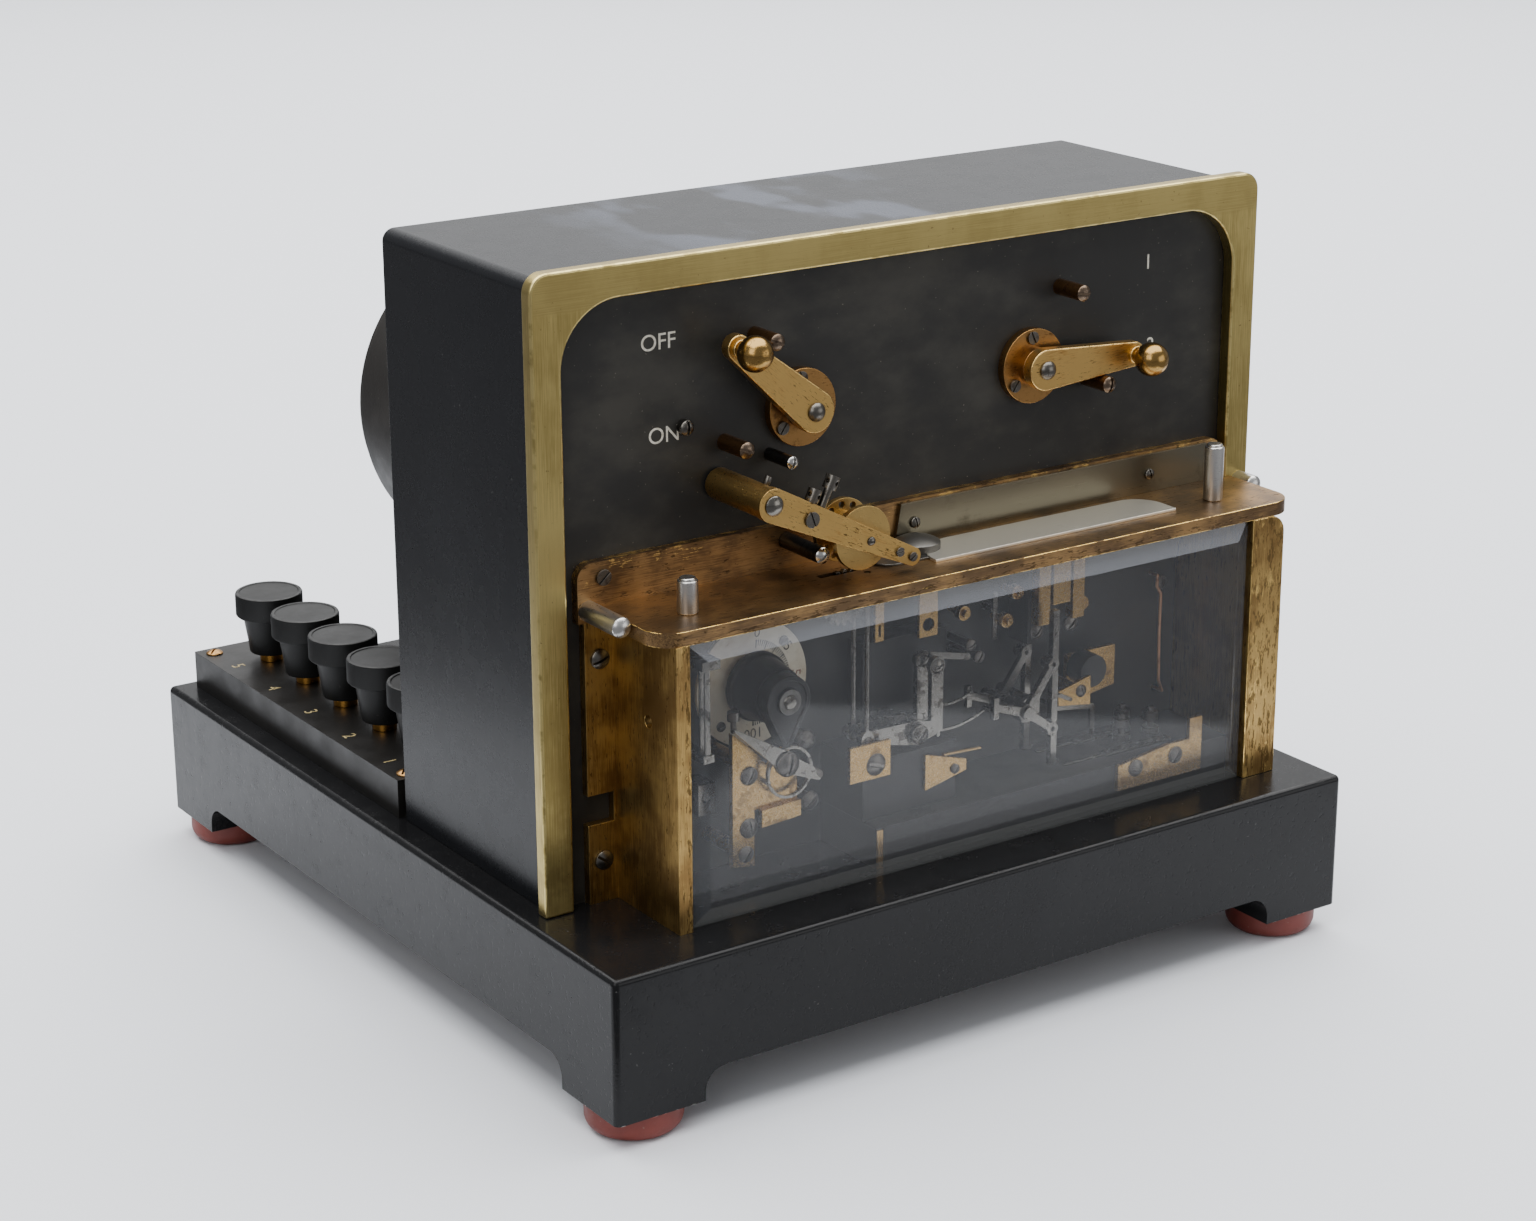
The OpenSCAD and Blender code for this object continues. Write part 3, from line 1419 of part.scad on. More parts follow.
module presser_screws() color("#8a8880")
  at_datum() on_arm() {
    for (c = capstans) translate([c[0], capstan_y, 0]) difference() {
      union() {
        translate([0, 0, -3.6]) cylinder(r = capstan_r, h = 3.6 + c[1]);
        translate([0, 0, c[1] - 0.4]) cylinder(r = 2.2, h = 4.2);
      }
      for (a = [20, 110]) rotate([0, 0, a])
        translate([-4, 0, c[1] + 1.8]) rotate([0, 90, 0]) cylinder(r = 0.7, h = 8);
    }
    facing(root_screw, arm_front) screw(2.5, 0.8, root_screw_r, 3, -45);
    for (i = [0, 1]) facing(tip_screws[i], arm_front) screw(1.5, 0.7, tip_screw_r, arm_t, 30 + 30 * i);
    // wheel axle with its end nut
    bar_y(wheel_at, wheel_axle_r, arm_front, wheel_back + 2);
    facing(wheel_at, arm_front) screw(1.3, 0.9, 0.9, eps * 2, 20, true);
    bar_y(wheel_at, 2.6, wheel_back + 0.2, wheel_back + 1.6);
    // set screw on the hub
    translate([0, capstan_y, hub_r + eps]) cylinder(r = 1.1, h = 2.6);
  }

module presser_wheel() color(brass)
  at_datum() on_arm() translate([presser_wheel_at, 0, 0]) difference() {
    union() {
      bar_y([0, 0], presser_wheel_d / 2, wheel_front, wheel_front + wheel_t);
      bar_y([0, 0], presser_wheel_d / 2, wheel_back - wheel_t, wheel_back);
      bar_y([0, 0], wheel_hub_r, wheel_front, wheel_back);
    }
    bar_y([0, 0], wheel_axle_r + fit, wheel_front - 1, wheel_back + 1);
    for (a = [0:30:330])
      bar_y([8 * cos(a), 8 * sin(a)], 1.1, wheel_back - wheel_t - 1, wheel_back + 1);
  }

// Gear train

phi_star = heading(star_at, idler_at);
phi_motor = heading(idler_at, motor_at);

// Star wheel: teeth, two radii, half angles of a tooth's tip and root
star_teeth = 20;
star_r = 9;
star_root_r = 7.6;
star_step = 360 / star_teeth;
star_tip = 3;
star_root = 7;
gear_plate_size = [93, 73];
gear_plate_corner = [-66, 50];
gear_pillars = [[-46, 56], [21, 58], [-60, 117], [21, 117]];
gear_shaft_end = gear_plate_y + gear_plate_t + 2;

function polar(r, a) = r * [cos(a), sin(a)];

module gear(at, z, y, turn) front_plate(y, gear_t) translate(at) rotate(turn) gear2d(z);

module star_wheel() color(steel)
  at_datum() {
    front_plate(star_y, star_t) translate(star_at)
      polygon([for (a = [0:star_step:360 - star_step])
        each [polar(star_r, a - star_tip), polar(star_r, a + star_tip),
          polar(star_root_r, a + star_root), polar(star_root_r, a + star_step - star_root)]]);
    bar_y(star_at, star_shaft_r, star_y - 1.5, gear_shaft_end);
    bar_y(star_at, 4, panel_back + 0.3, 79);
    gear(star_at, wheel_teeth, star_gear_y, phi_star);
  }

module idler_gear() color(brass)
  at_datum() {
    gear(idler_at, pinion_teeth, star_gear_y, phi_star + 180 + 180 / pinion_teeth);
    gear(idler_at, wheel_teeth, idler_wheel_y, phi_motor);
    bar_y(idler_at, idler_shaft_r, panel_back - idler_seat, gear_shaft_end);
    bar_y(idler_at, 5, star_gear_y - 1, gear_plate_y - 0.3);
  }

module gear_plate() color(brass)
  at_datum() {
    difference() {
      front_plate(gear_plate_y, gear_plate_t) translate(gear_plate_corner) square(gear_plate_size);
      front_plate(gear_plate_y - 1, gear_plate_t + 2) {
        translate(star_at) circle(star_shaft_r + fit);
        translate(idler_at) circle(idler_shaft_r + fit);
        translate(motor_at) circle(motor_shaft_r + fit);
      }
    }
    for (p = gear_pillars) bar_y(p, 4, panel_back, gear_plate_y + eps);
  }

// Motor

// End covers with their bushes and round openings
end_t = 5;
end_inset = 2;
bush_r = 9;
bush_l = 6;
vent_r = 8;
vent_at = 32;
yoke_t = 8.3;

// Poles and coils: places along the depth, bore between the shoes, width and shoe
pole_y = 178;
pole_l = 44;
pole_w = 26;
pole_bore = 31;
pole_shoe_t = 4;
pole_shoe_w = 44;
coil_x = 35.5;
coil_t = 8;
coil_w = 44;
coil_over = 9;

// Commutator and brushes
comm_y = 230;
comm_l = 12;
comm_r = 12;
brush_gap = 0.3;
brush_end = 16;

// Cradle below the motor: block, cheeks and screw holes
cradle_front = 184;
cradle_l = 52;
cradle_w = 68;
cradle_t = 6;
cheek_w = 60;
cheek_h = 60;
cheek_t = 8;
cheek_depths = [190, 222];

// Places a motor piece on the motor's axis
module on_motor() translate([motor_x, 0, motor_z]) children();

// A piece at the right of the motor's axis and its mirror image
module both_sides() for (s = [0, 1]) mirror([s, 0, 0]) children();

module motor_yoke() color("#4a4034")
  at_datum() on_motor() {
    difference() {
      bar_y([0, 0], yoke_r, yoke_front, yoke_back);
      bar_y([0, 0], yoke_r - yoke_t, yoke_front - 1, yoke_back + 1);
    }
    both_sides() {
      block(pole_bore + 1, -pole_w / 2, 19, pole_w, pole_y, pole_y + pole_l);
      intersection() {
        block(15, -pole_shoe_w / 2, 25, pole_shoe_w, pole_y, pole_y + pole_l);
        difference() {
          bar_y([0, 0], pole_bore + pole_shoe_t, pole_y, pole_y + pole_l);
          bar_y([0, 0], pole_bore, pole_y - 1, pole_y + pole_l + 1);
        }
      }
    }
  }

module field_coils() color("#6a3f28")
  at_datum() on_motor() both_sides()
    difference() {
      block(coil_x, -coil_w / 2, coil_t, coil_w, pole_y - coil_over, pole_y + pole_l + coil_over);
      block(coil_x - 1, -pole_w / 2, coil_t + 2, pole_w, pole_y, pole_y + pole_l);
    }

// An end cover with its bush, drawn outwards along +y from the frame's end
module motor_end()
  difference() {
    union() {
      bar_y([0, 0], yoke_r - end_inset, 0, end_t);
      bar_y([0, 0], bush_r, end_t - eps, end_t + bush_l);
    }
    bar_y([0, 0], motor_shaft_r + fit, -1, end_t + bush_l + 1);
    for (a = [45:90:315]) bar_y([vent_at * cos(a), vent_at * sin(a)], vent_r, -1, end_t + 1);
  }

module motor_ends() color("#55483a")
  at_datum() on_motor() {
    translate([0, yoke_front, 0]) mirror([0, 1, 0]) motor_end();
    translate([0, yoke_back, 0]) motor_end();
  }

module motor_cradle() color(black)
  at_datum() difference() {
    translate([motor_x, 0, 0]) {
      block(-cradle_w / 2, 0, cradle_w, cradle_t, cradle_front, cradle_front + cradle_l);
      for (y = cheek_depths) block(-cheek_w / 2, 0, cheek_w, cheek_h, y, y + cheek_t);
    }
    bar_y(motor_at, yoke_r, yoke_front, yoke_back);
    for (x = [-28, 28], y = [205, 215])
      translate([motor_x + x, y, -1]) cylinder(r = 2, h = cradle_t + 2);
  }

module brush_holders() color(brass)
  at_datum() on_motor() both_sides() {
    block(14, -4, 10, 8, comm_y + 2, comm_y + 10);
    block(comm_r + brush_gap, -3, brush_end - comm_r - brush_gap, 6, comm_y + 3, comm_y + 9);
    block(17, -3, 4, 6, comm_y + 10 - eps, yoke_back);
  }

module armature() color("#8d8578")
  at_datum() {
    bar_y(motor_at, motor_shaft_r, idler_wheel_y - 1, yoke_back + end_t + bush_l + 4);
    gear(motor_at, pinion_teeth, idler_wheel_y, phi_motor + 180 + 180 / pinion_teeth);
    bar_y(motor_at, rotor_r, pole_y, pole_y + pole_l);
    bar_y(motor_at, comm_r, comm_y, comm_y + comm_l);
    bar_y(motor_at, 5, yoke_front + 0.3, comm_y);
  }

// Terminals

block_screws = [[-129, 150], [-129, 294]];
block_screw_r = 1.5;
block_screw_l = 10;

module terminal_block() color("#2a2624")
  at_datum() difference() {
    translate([block_x, block_front, 0]) cube([block_w, block_back - block_front, block_h]);
    for (i = [0:terminals - 1])
      translate([term_x, term_y(i), -1]) cylinder(r = stud_r + shank_gap, h = block_h + 2);
    for (p = block_screws)
      translate([p[0], p[1], 1]) cylinder(r = block_screw_r + shank_gap, h = block_h);
  }

module terminal_studs() color(brass)
  at_datum() {
    for (i = [0:terminals - 1]) translate([term_x, term_y(i), 0]) {
      translate([0, 0, -plinth_top - stud_tail])
        cylinder(r = stud_r, h = plinth_top + stud_tail + block_h + stud_top);
      translate([0, 0, block_h]) cylinder(r = collar_r, h = collar_h);
      translate([0, 0, -plinth_top - nut_under_h]) cylinder(r = 4.6, h = nut_under_h, $fn = 6);
    }
    for (p = block_screws)
      translate([p[0], p[1], block_h]) screw(3, 1.6, block_screw_r, block_screw_l, 40, true);
  }

// A moulded nut with a stem and a ribbed grip, on its stud
module terminal_knob(i) color(black)
  at_datum() translate([term_x, term_y(i - 1), block_h])
    difference() {
      union() {
        translate([0, 0, collar_h + knob_gap])
          cylinder(r1 = stem_low_r, r2 = stem_top_r, h = grip_z - collar_h - knob_gap);
        translate([0, 0, grip_z]) cylinder(r = term_r, h = grip_h);
      }
      translate([0, 0, -1]) cylinder(r = stud_r + fit, h = stud_top + 2);
      for (a = [0:15:345]) rotate([0, 0, a])
        translate([term_r + 0.5, 0, grip_z - 1]) cylinder(r = 1, h = grip_h + 2.5, $fn = 6);
    }

module terminal_knob_1() terminal_knob(1);
module terminal_knob_2() terminal_knob(2);
module terminal_knob_3() terminal_knob(3);
module terminal_knob_4() terminal_knob(4);
module terminal_knob_5() terminal_knob(5);

base_plinth();
bottom_board();
rubber_feet();
case_shell();
brass_bezel();
front_panel();
switch_bosses();
panel_screws();
stop_pins();
presser_spindle();
tape_deck();
guide_pins();
tape_back_plate();
tape_bed();
tape_shoe();
left_post();
right_post();
front_glass();
speed_dial();
lever_bracket();
mech_screws();
contact_springs();
relay_block();
relay_posts();
contact_bracket();
contact_strips();
crank_block();
crank_plates();
pivot_spindles();
mech_shelf();
connecting_wires();
gear_plate();
terminal_block();
terminal_studs();
motor_yoke();
motor_ends();
field_coils();
motor_cradle();
brush_holders();
motor_switch_lever();
key_switch_lever();
presser_arm();
presser_screws();
presser_wheel();
speed_knob();
star_wheel();
idler_gear();
armature();
bell_crank_front();
bell_crank_rear();
pecker_front();
pecker_rear();
rocker_front();
rocker_rear();
jockey_lever();
terminal_knob_1();
terminal_knob_2();
terminal_knob_3();
terminal_knob_4();
terminal_knob_5();
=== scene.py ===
# %% [markdown]
# # Automatic telegraph transmitter
# A desk instrument that reads punched paper tape. The solids come ready made and in place from
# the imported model, each riding on the body it moves with. This script gives them rounded edges,
# real finishes and the small turned, knurled and engraved details, and then sets up the picture.

# %% The frame
import json
from math import atan2, cos, radians, sin, tau

import bmesh
import bpy
from mathutils import Matrix, Vector

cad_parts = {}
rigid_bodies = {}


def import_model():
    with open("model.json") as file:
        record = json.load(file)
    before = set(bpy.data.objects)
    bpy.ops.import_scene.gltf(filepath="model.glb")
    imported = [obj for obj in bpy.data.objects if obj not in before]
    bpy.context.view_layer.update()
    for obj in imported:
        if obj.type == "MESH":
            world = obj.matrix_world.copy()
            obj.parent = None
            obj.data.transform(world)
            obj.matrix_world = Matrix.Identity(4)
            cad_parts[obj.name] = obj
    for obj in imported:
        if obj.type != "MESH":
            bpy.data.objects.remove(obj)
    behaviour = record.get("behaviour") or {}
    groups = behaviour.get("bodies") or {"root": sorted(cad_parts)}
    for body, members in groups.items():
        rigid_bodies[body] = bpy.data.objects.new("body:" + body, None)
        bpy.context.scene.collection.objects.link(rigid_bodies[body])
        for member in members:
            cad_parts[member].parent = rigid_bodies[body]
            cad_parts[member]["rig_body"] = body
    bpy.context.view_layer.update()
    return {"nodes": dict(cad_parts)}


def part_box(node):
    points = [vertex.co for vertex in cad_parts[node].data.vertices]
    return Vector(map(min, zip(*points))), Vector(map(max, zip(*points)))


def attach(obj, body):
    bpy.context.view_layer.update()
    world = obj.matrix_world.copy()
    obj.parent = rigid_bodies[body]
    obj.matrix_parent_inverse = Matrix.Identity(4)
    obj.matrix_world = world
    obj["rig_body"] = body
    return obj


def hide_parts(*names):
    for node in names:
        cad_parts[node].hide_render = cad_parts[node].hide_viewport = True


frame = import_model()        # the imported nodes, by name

# %% [markdown]
# Workshop drawings give millimetres from a few datum faces, and Blender works in metres. Here
# every place is given from the plinth's middle, its front face and its top face, read from the
# plinth's own box, so a piece lands where the solids say.

# %% Places in millimetres
MM = 0.001
plinth_low, plinth_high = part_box("base_plinth")


def at(x, y, z):
    """A place in metres, from millimetres off the plinth's middle, front face and top face."""
    return Vector((x * MM, plinth_low[1] + y * MM, plinth_high[2] + z * MM))


def millimetres(spot):
    """The same the other way round: the drawing's millimetres of a place in metres."""
    return (spot - at(0, 0, 0)) / MM


print("datum", [round(c, 4) for c in at(0, 0, 0)])

# %% [markdown]
# The photograph was taken from the left front and a little above, with a long lens, so the
# upright edges hardly lean. The lens is set to match, and the small shift only frames the
# object as the photograph does.

# %% Camera
camera = bpy.data.objects.new("photo_camera", bpy.data.cameras.new("photo_camera"))
bpy.context.scene.collection.objects.link(camera)
camera.location = (-0.5776, -0.8751, 0.4485)
camera.rotation_euler = (radians(71.89), 0, radians(-34.87))
camera.data.sensor_fit, camera.data.sensor_width = "HORIZONTAL", 36
camera.data.lens = 75.53
camera.data.shift_x, camera.data.shift_y = -0.0267, -0.0126
camera.data.clip_start = 0.02
bpy.context.scene.camera = camera
print("camera", round(camera.location.length, 3), "m from the middle of the floor")

# %% [markdown]
# A shader is a graph of nodes, and sums on its values are far easier to read as ordinary
# Python. `Val` wraps one socket, and + - * on it add Math nodes. The reflected forms are there
# too, so that `1 - mask` works as well as `mask - 1`.

# %% Shader maths
class Val:
    """A shader socket that Python's own sums work on."""

    def __init__(self, finish, socket):
        self.finish, self.socket = finish, socket

    def maths(self, operation, *values):
        return self.finish.node("ShaderNodeMath", {"operation": operation},
                                dict(enumerate(values)))

    def __add__(self, other):
        return self.maths("ADD", self, other)

    def __sub__(self, other):
        return self.maths("SUBTRACT", self, other)

    def __rsub__(self, other):
        return self.maths("SUBTRACT", other, self)

    def __mul__(self, other):
        return self.maths("MULTIPLY", self, other)

    __radd__, __rmul__ = __add__, __mul__

    def __abs__(self):
        return self.maths("ABSOLUTE", self)

    def least(self, other):
        return self.maths("MINIMUM", self, other)

    def most(self, other):
        return self.maths("MAXIMUM", self, other)

    def rise(self, start, end):
        """0 below start, 1 above end and smooth in between. It falls where end is below start."""
        if start > end:
            return 1 - self.rise(end, start)
        return self.finish.node("ShaderNodeMapRange", {"interpolation_type": "SMOOTHSTEP"},
                                {"Value": self, "From Min": start, "From Max": end})


print("shader values can be added, subtracted and multiplied")

# %% [markdown]
# `Finish` holds one material. Its method `node` makes any node from its type, its settings and
# its inputs, and the rest are named patterns built on that: clouds of noise, mixes of two
# colours, a relief, and masks for what wears. Every pattern reads Object coordinates, so it
# stays on a piece that moves, and the same millimetres mean the same size on every piece.

# %% One material
class Finish:
    """One material, built round a Principled shader."""

    def __init__(self, name, **constants):
        self.material = bpy.data.materials.new(name)
        self.material.use_nodes = True
        self.tree = self.material.node_tree
        self.shader = self.tree.nodes["Principled BSDF"]
        for socket, value in constants.items():
            self.shader.inputs[socket.replace("_", " ")].default_value = value
        self.place = self.node("ShaderNodeTexCoord", out="Object")

    def node(self, kind, settings=None, inputs=None, out=0):
        made = self.tree.nodes.new(kind)
        for key, value in (settings or {}).items():
            setattr(made, key, value)
        for key, value in (inputs or {}).items():
            if isinstance(value, Val):
                self.tree.links.new(value.socket, made.inputs[key])
            else:
                made.inputs[key].default_value = value
        return Val(self, made.outputs[out])

    def feed(self, socket, value):
        self.tree.links.new(value.socket, self.shader.inputs[socket])

    def axis(self, name):
        """One coordinate of the point, in metres."""
        return self.node("ShaderNodeSeparateXYZ", None, {0: self.place}, out=name)

    def noise(self, size, detail=2.0, rough=0.55, stretch=(1, 1, 1), shift=0.0, turn=0.0):
        """Clouds from 0 to 1 whose blotches are about `size` millimetres wide.

        stretch draws them out along the axes, and turn tilts them, seen from the front."""
        place = self.node("ShaderNodeMapping", {"vector_type": "TEXTURE"},
                          {"Vector": self.place, "Location": (shift, shift * 2, 0),
                           "Rotation": (0, radians(-turn), 0),
                           "Scale": [size * MM * s for s in stretch]})
        return self.node("ShaderNodeTexNoise", None,
                         {"Vector": place, "Scale": 1.0, "Detail": detail, "Roughness": rough})

    def mix(self, amount, first, second):
        """A colour between two colours. Each is a plain colour or another mix."""
        a, b = [(*c, 1) if isinstance(c, tuple) else c for c in (first, second)]
        return self.node("ShaderNodeMix", {"data_type": "RGBA"}, {0: amount, 6: a, 7: b}, out=2)

    def bump(self, height, depth):
        """Feeds the normal with a relief `depth` millimetres deep."""
        self.feed("Normal", self.node("ShaderNodeBump", None, {
            "Height": height, "Distance": depth * MM, "Strength": 1.0}))

    def worn_edge(self):
        """1 on the rounded edges that the dressing marks, and 0 on the faces between them."""
        return self.node("ShaderNodeAttribute", {"attribute_name": "edge"}, out="Fac")

    def off_edges(self, low, high):
        """The distance in metres from the nearest edge of a box, for a point on its surface."""
        gaps = []
        for name, a, b in zip("XYZ", low, high):
            gaps.append((b - a) / 2 - abs(self.axis(name) - (a + b) / 2))
        x, y, z = gaps
        return x.least(y).most(x.most(y).least(z))


def darker(colour, share):
    """A colour times a share, for the dull or dirty side of a finish."""
    return tuple(c * share for c in colour)


print("material helpers ready")

# %% [markdown]
# Black japan is an oily varnish baked on a casting. After a century it is still glossy, but it
# has fine pits, dull patches, and chips along every edge where the pale metal shows. The chips
# come from one sum: close to an edge the noise has to be only a little high to break through.

# %% A glossy black coat
CHIPPED_METAL, PALE_FLECK = (0.34, 0.34, 0.32), (0.2, 0.2, 0.19)
STAIN_BLUE = (0.075, 0.085, 0.115)


def black_coat(name, node, colour, gloss, chip_width, chips, pitting, stains=None):
    """A glossy black coat on one box-like node, chipped along its edges."""
    coat = Finish(name, Specular_IOR_Level=0.2)
    low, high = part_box(node)
    off_edge = coat.off_edges(low, high) * (1 / MM)
    ragged = coat.noise(3.2, 3, 0.7)
    chip = (ragged - off_edge * (1 / chip_width)).rise(chips, chips + 0.035)
    fleck = coat.noise(1.1, 1, 0.5, shift=0.3).rise(0.76, 0.79) * coat.noise(35, 2).rise(0.5, 0.6)
    bloom = coat.noise(46, 4, 0.62, shift=0.7)
    base = coat.mix(bloom.rise(0.42, 0.8) * 0.4, colour, tuple(c * 1.7 + 0.002 for c in colour))
    if stains:
        base = coat.mix(stains(coat), base, STAIN_BLUE)
    base = coat.mix(fleck * 0.35, base, PALE_FLECK)
    coat.feed("Base Color", coat.mix(chip, base, CHIPPED_METAL))
    dull = coat.noise(9, 4, 0.65, shift=0.2)
    coat.feed("Roughness", gloss + dull.rise(0.35, 0.8) * 0.16 * pitting + chip * 0.3)
    pits = coat.noise(1.7, 3, 0.6, shift=0.5).rise(0.3, 0.42) * pitting
    coat.bump(pits - chip * 1.5 + coat.noise(14, 2) * 0.9 * pitting, 0.04)
    return coat


print("black coat ready")

# %% [markdown]
# The casting of the plinth carries the rougher coat, and the folded sheet of the case a stoved
# one that is smoother. Things stood on the case have rubbed pale patches into its top, so the
# patches are held to the top face and to the middle of its width.

# %% Black japan and stoved black
CASE_TOP = (0.2475, 0.2485)          # the patches fade in between these heights, in metres


def rubbed_stains(coat):
    """Pale blue rubbed patches on the top of the case."""
    x, z = coat.axis("X") * (1 / MM), coat.axis("Z")
    patch = coat.noise(26, 3, 0.5, stretch=(1.1, 2.2, 1), shift=0.15).rise(0.5, 0.62)
    near = abs(x + 22).rise(78, 30)
    return patch * near * z.rise(*CASE_TOP) * 0.7


japan = black_coat("black_japan", "base_plinth", (0.0075, 0.0075, 0.0080), 0.17, 1.3, 0.50, 1.0)
stoved = black_coat("stoved_black", "case_shell", (0.0080, 0.0085, 0.0100), 0.26, 0.7, 0.54, 0.25,
                    stains=rubbed_stains)
print("black coats", japan.material.name, stoved.material.name)

# %% [markdown]
# The panel is a matt engraved sheet. Hands have smeared it, so its roughness wanders more than
# its colour, and a few specks lie on it. Ebonite, mouldings, rubber and the stained board are
# other settings of the same finish.

# %% Matt black sheet, board, rubber and moulded blacks
PALE_DUST = (0.22, 0.2, 0.16)


def matt_black(name, colour, rough, smear=0.25, speck=0.0, grain=0.5, grain_depth=0.004,
               smeared=None):
    """A dull black surface with smears of handling and a fine grain."""
    black = Finish(name, Specular_IOR_Level=0.35)
    cloud = black.noise(28, 5, 0.62, stretch=(1.6, 1, 1))
    base = black.mix(cloud.rise(0.42, 0.72) * smear, colour, smeared or darker(colour, 2.6))
    if speck:
        dots = black.noise(0.9, 1, 0.5, shift=0.4).rise(0.75, 0.78)
        base = black.mix(dots * speck, base, PALE_DUST)
    worn = black.worn_edge() * black.noise(2.5, 3).rise(0.45, 0.6)
    black.feed("Base Color", black.mix(worn * 0.5, base, tuple(c * 4 + 0.02 for c in colour)))
    black.feed("Roughness", rough + (black.noise(11, 4, 0.6, shift=0.6) - 0.5) * 0.35)
    black.bump(black.noise(grain, 2, 0.5), grain_depth)
    return black


panel_sheet = matt_black("engraved_sheet", (0.016, 0.0155, 0.0145), 0.44, 0.75, 0.5, 0.6, 0.005,
                         smeared=(0.048, 0.045, 0.037))
ebonite = matt_black("ebonite", (0.0085, 0.0078, 0.0070), 0.40, 0.3, 0.15, 0.5, 0.001)
knob_black = matt_black("moulded_knob", (0.0045, 0.0045, 0.0043), 0.48, 0.2, 0.1, 0.35, 0.006)
rubber = matt_black("red_rubber", (0.135, 0.026, 0.019), 0.5, 0.3, 0.3, 0.8, 0.05)
board = matt_black("stained_board", (0.030, 0.018, 0.010), 0.6, 0.5, 0.2, 0.6, 0.05)
bronze_black = matt_black("bronze_black", (0.016, 0.014, 0.012), 0.5, 0.4, 0.2, 0.9, 0.06)
print("matt blacks ready")

# %% [markdown]
# Old lacquered brass is never one colour. Where the lacquer holds it is bright, where air got
# in it goes brown in clouds, and rubbed edges are the brightest of all. One function mixes
# these from a bright and a dull colour, with brush marks along a chosen direction. Steel goes
# dull in the same way, so it uses the same function.

# %% A metal
def metal(name, bright, dull, rough, tarnish=0.5, cloud=14, brush=(1, 1, 1), brush_size=0.35,
          brush_depth=0.01, pits=0.0, edge=None, streak=0.25, turn=0.0):
    """A metal between two colours. tarnish is the share of it that has gone dull."""
    skin = Finish(name, Metallic=1.0)
    lines = skin.noise(brush_size, 3, 0.6, stretch=brush, shift=0.25, turn=turn)
    clouds = skin.noise(cloud, 5, 0.68)
    gone = (clouds + (lines - 0.5) * streak).rise(0.66 - tarnish * 0.3, 0.84 - tarnish * 0.3)
    base = skin.mix(gone, bright, dull)
    worn = skin.worn_edge() * skin.noise(2.2, 3, 0.6, shift=0.9).rise(0.36, 0.52)
    base = skin.mix(worn * 0.85, base, edge or tuple(min(1, c * 1.25) for c in bright))
    scratch = skin.noise(0.55, 3, 0.7, stretch=(5, 1, 1), shift=0.6, turn=turn).rise(0.58, 0.63)
    hole = scratch * skin.noise(9, 3, 0.6, shift=0.4).rise(0.42, 0.58)
    if pits:
        base = skin.mix(hole * pits, base, darker(dull, 0.25))
    skin.feed("Base Color", base)
    skin.feed("Roughness", rough + gone * 0.14 + (lines - 0.5) * 0.16 - worn * 0.08)
    skin.bump(lines - hole * pits * 2, brush_depth)
    return skin


print("metal ready")

# %% [markdown]
# The steels run from polished pins to blued screws. The nickel silver of the back plate and the
# bed is brushed along its length, which a stretch along X gives.

# %% Steels and nickel
steel = metal("bright_steel", (0.60, 0.59, 0.57), (0.40, 0.385, 0.35), 0.2, 0.25, 8, streak=0.2)
pin_steel = metal("turned_steel", (0.58, 0.57, 0.55), (0.40, 0.39, 0.37), 0.3, 0.3, 9,
                  brush=(8, 8, 0.4), brush_size=0.3)
dark_steel = metal("screw_steel", (0.15, 0.14, 0.125), (0.06, 0.05, 0.042), 0.3, 0.5, 3)
black_steel = metal("blued_steel", (0.085, 0.082, 0.080), (0.035, 0.032, 0.030), 0.3, 0.5, 4)
mech_steel = metal("movement_steel", (0.19, 0.18, 0.16), (0.07, 0.06, 0.05), 0.22, 0.5, 5)
nickel = metal("nickel_silver", (0.175, 0.16, 0.118), (0.105, 0.095, 0.066), 0.3, 0.4, 24,
               brush=(60, 1, 1), brush_size=0.4, brush_depth=0.002, streak=0.15)
bed_nickel = metal("polished_bed", (0.80, 0.77, 0.69), (0.62, 0.59, 0.50), 0.42, 0.25, 12,
                   brush=(30, 1, 1), brush_size=0.3, brush_depth=0.006)
shoe_steel = metal("shoe_steel", (0.13, 0.125, 0.115), (0.08, 0.075, 0.066), 0.42, 0.4, 6,
                   brush=(1, 8, 1), brush_size=0.3)
print("steels and nickel ready")

# %% [markdown]
# Each lever was rubbed along its own length, so its brush marks and scratches are turned with
# it. The balls and pins were turned on a lathe and held in the hand, and they are darker.

# %% Brasses and copper
mech_brass = metal("movement_brass", (0.40, 0.26, 0.10), (0.20, 0.12, 0.045), 0.27, 0.5, 6)


def lever_brass(name, turn):
    """Brass rubbed along a lever, with dark scratches the same way."""
    return metal(name, (0.60, 0.385, 0.13), (0.36, 0.20, 0.06), 0.32, 0.4, 16, brush=(14, 1, 1),
                 pits=1.0, edge=(0.74, 0.50, 0.19), streak=0.8, turn=turn)


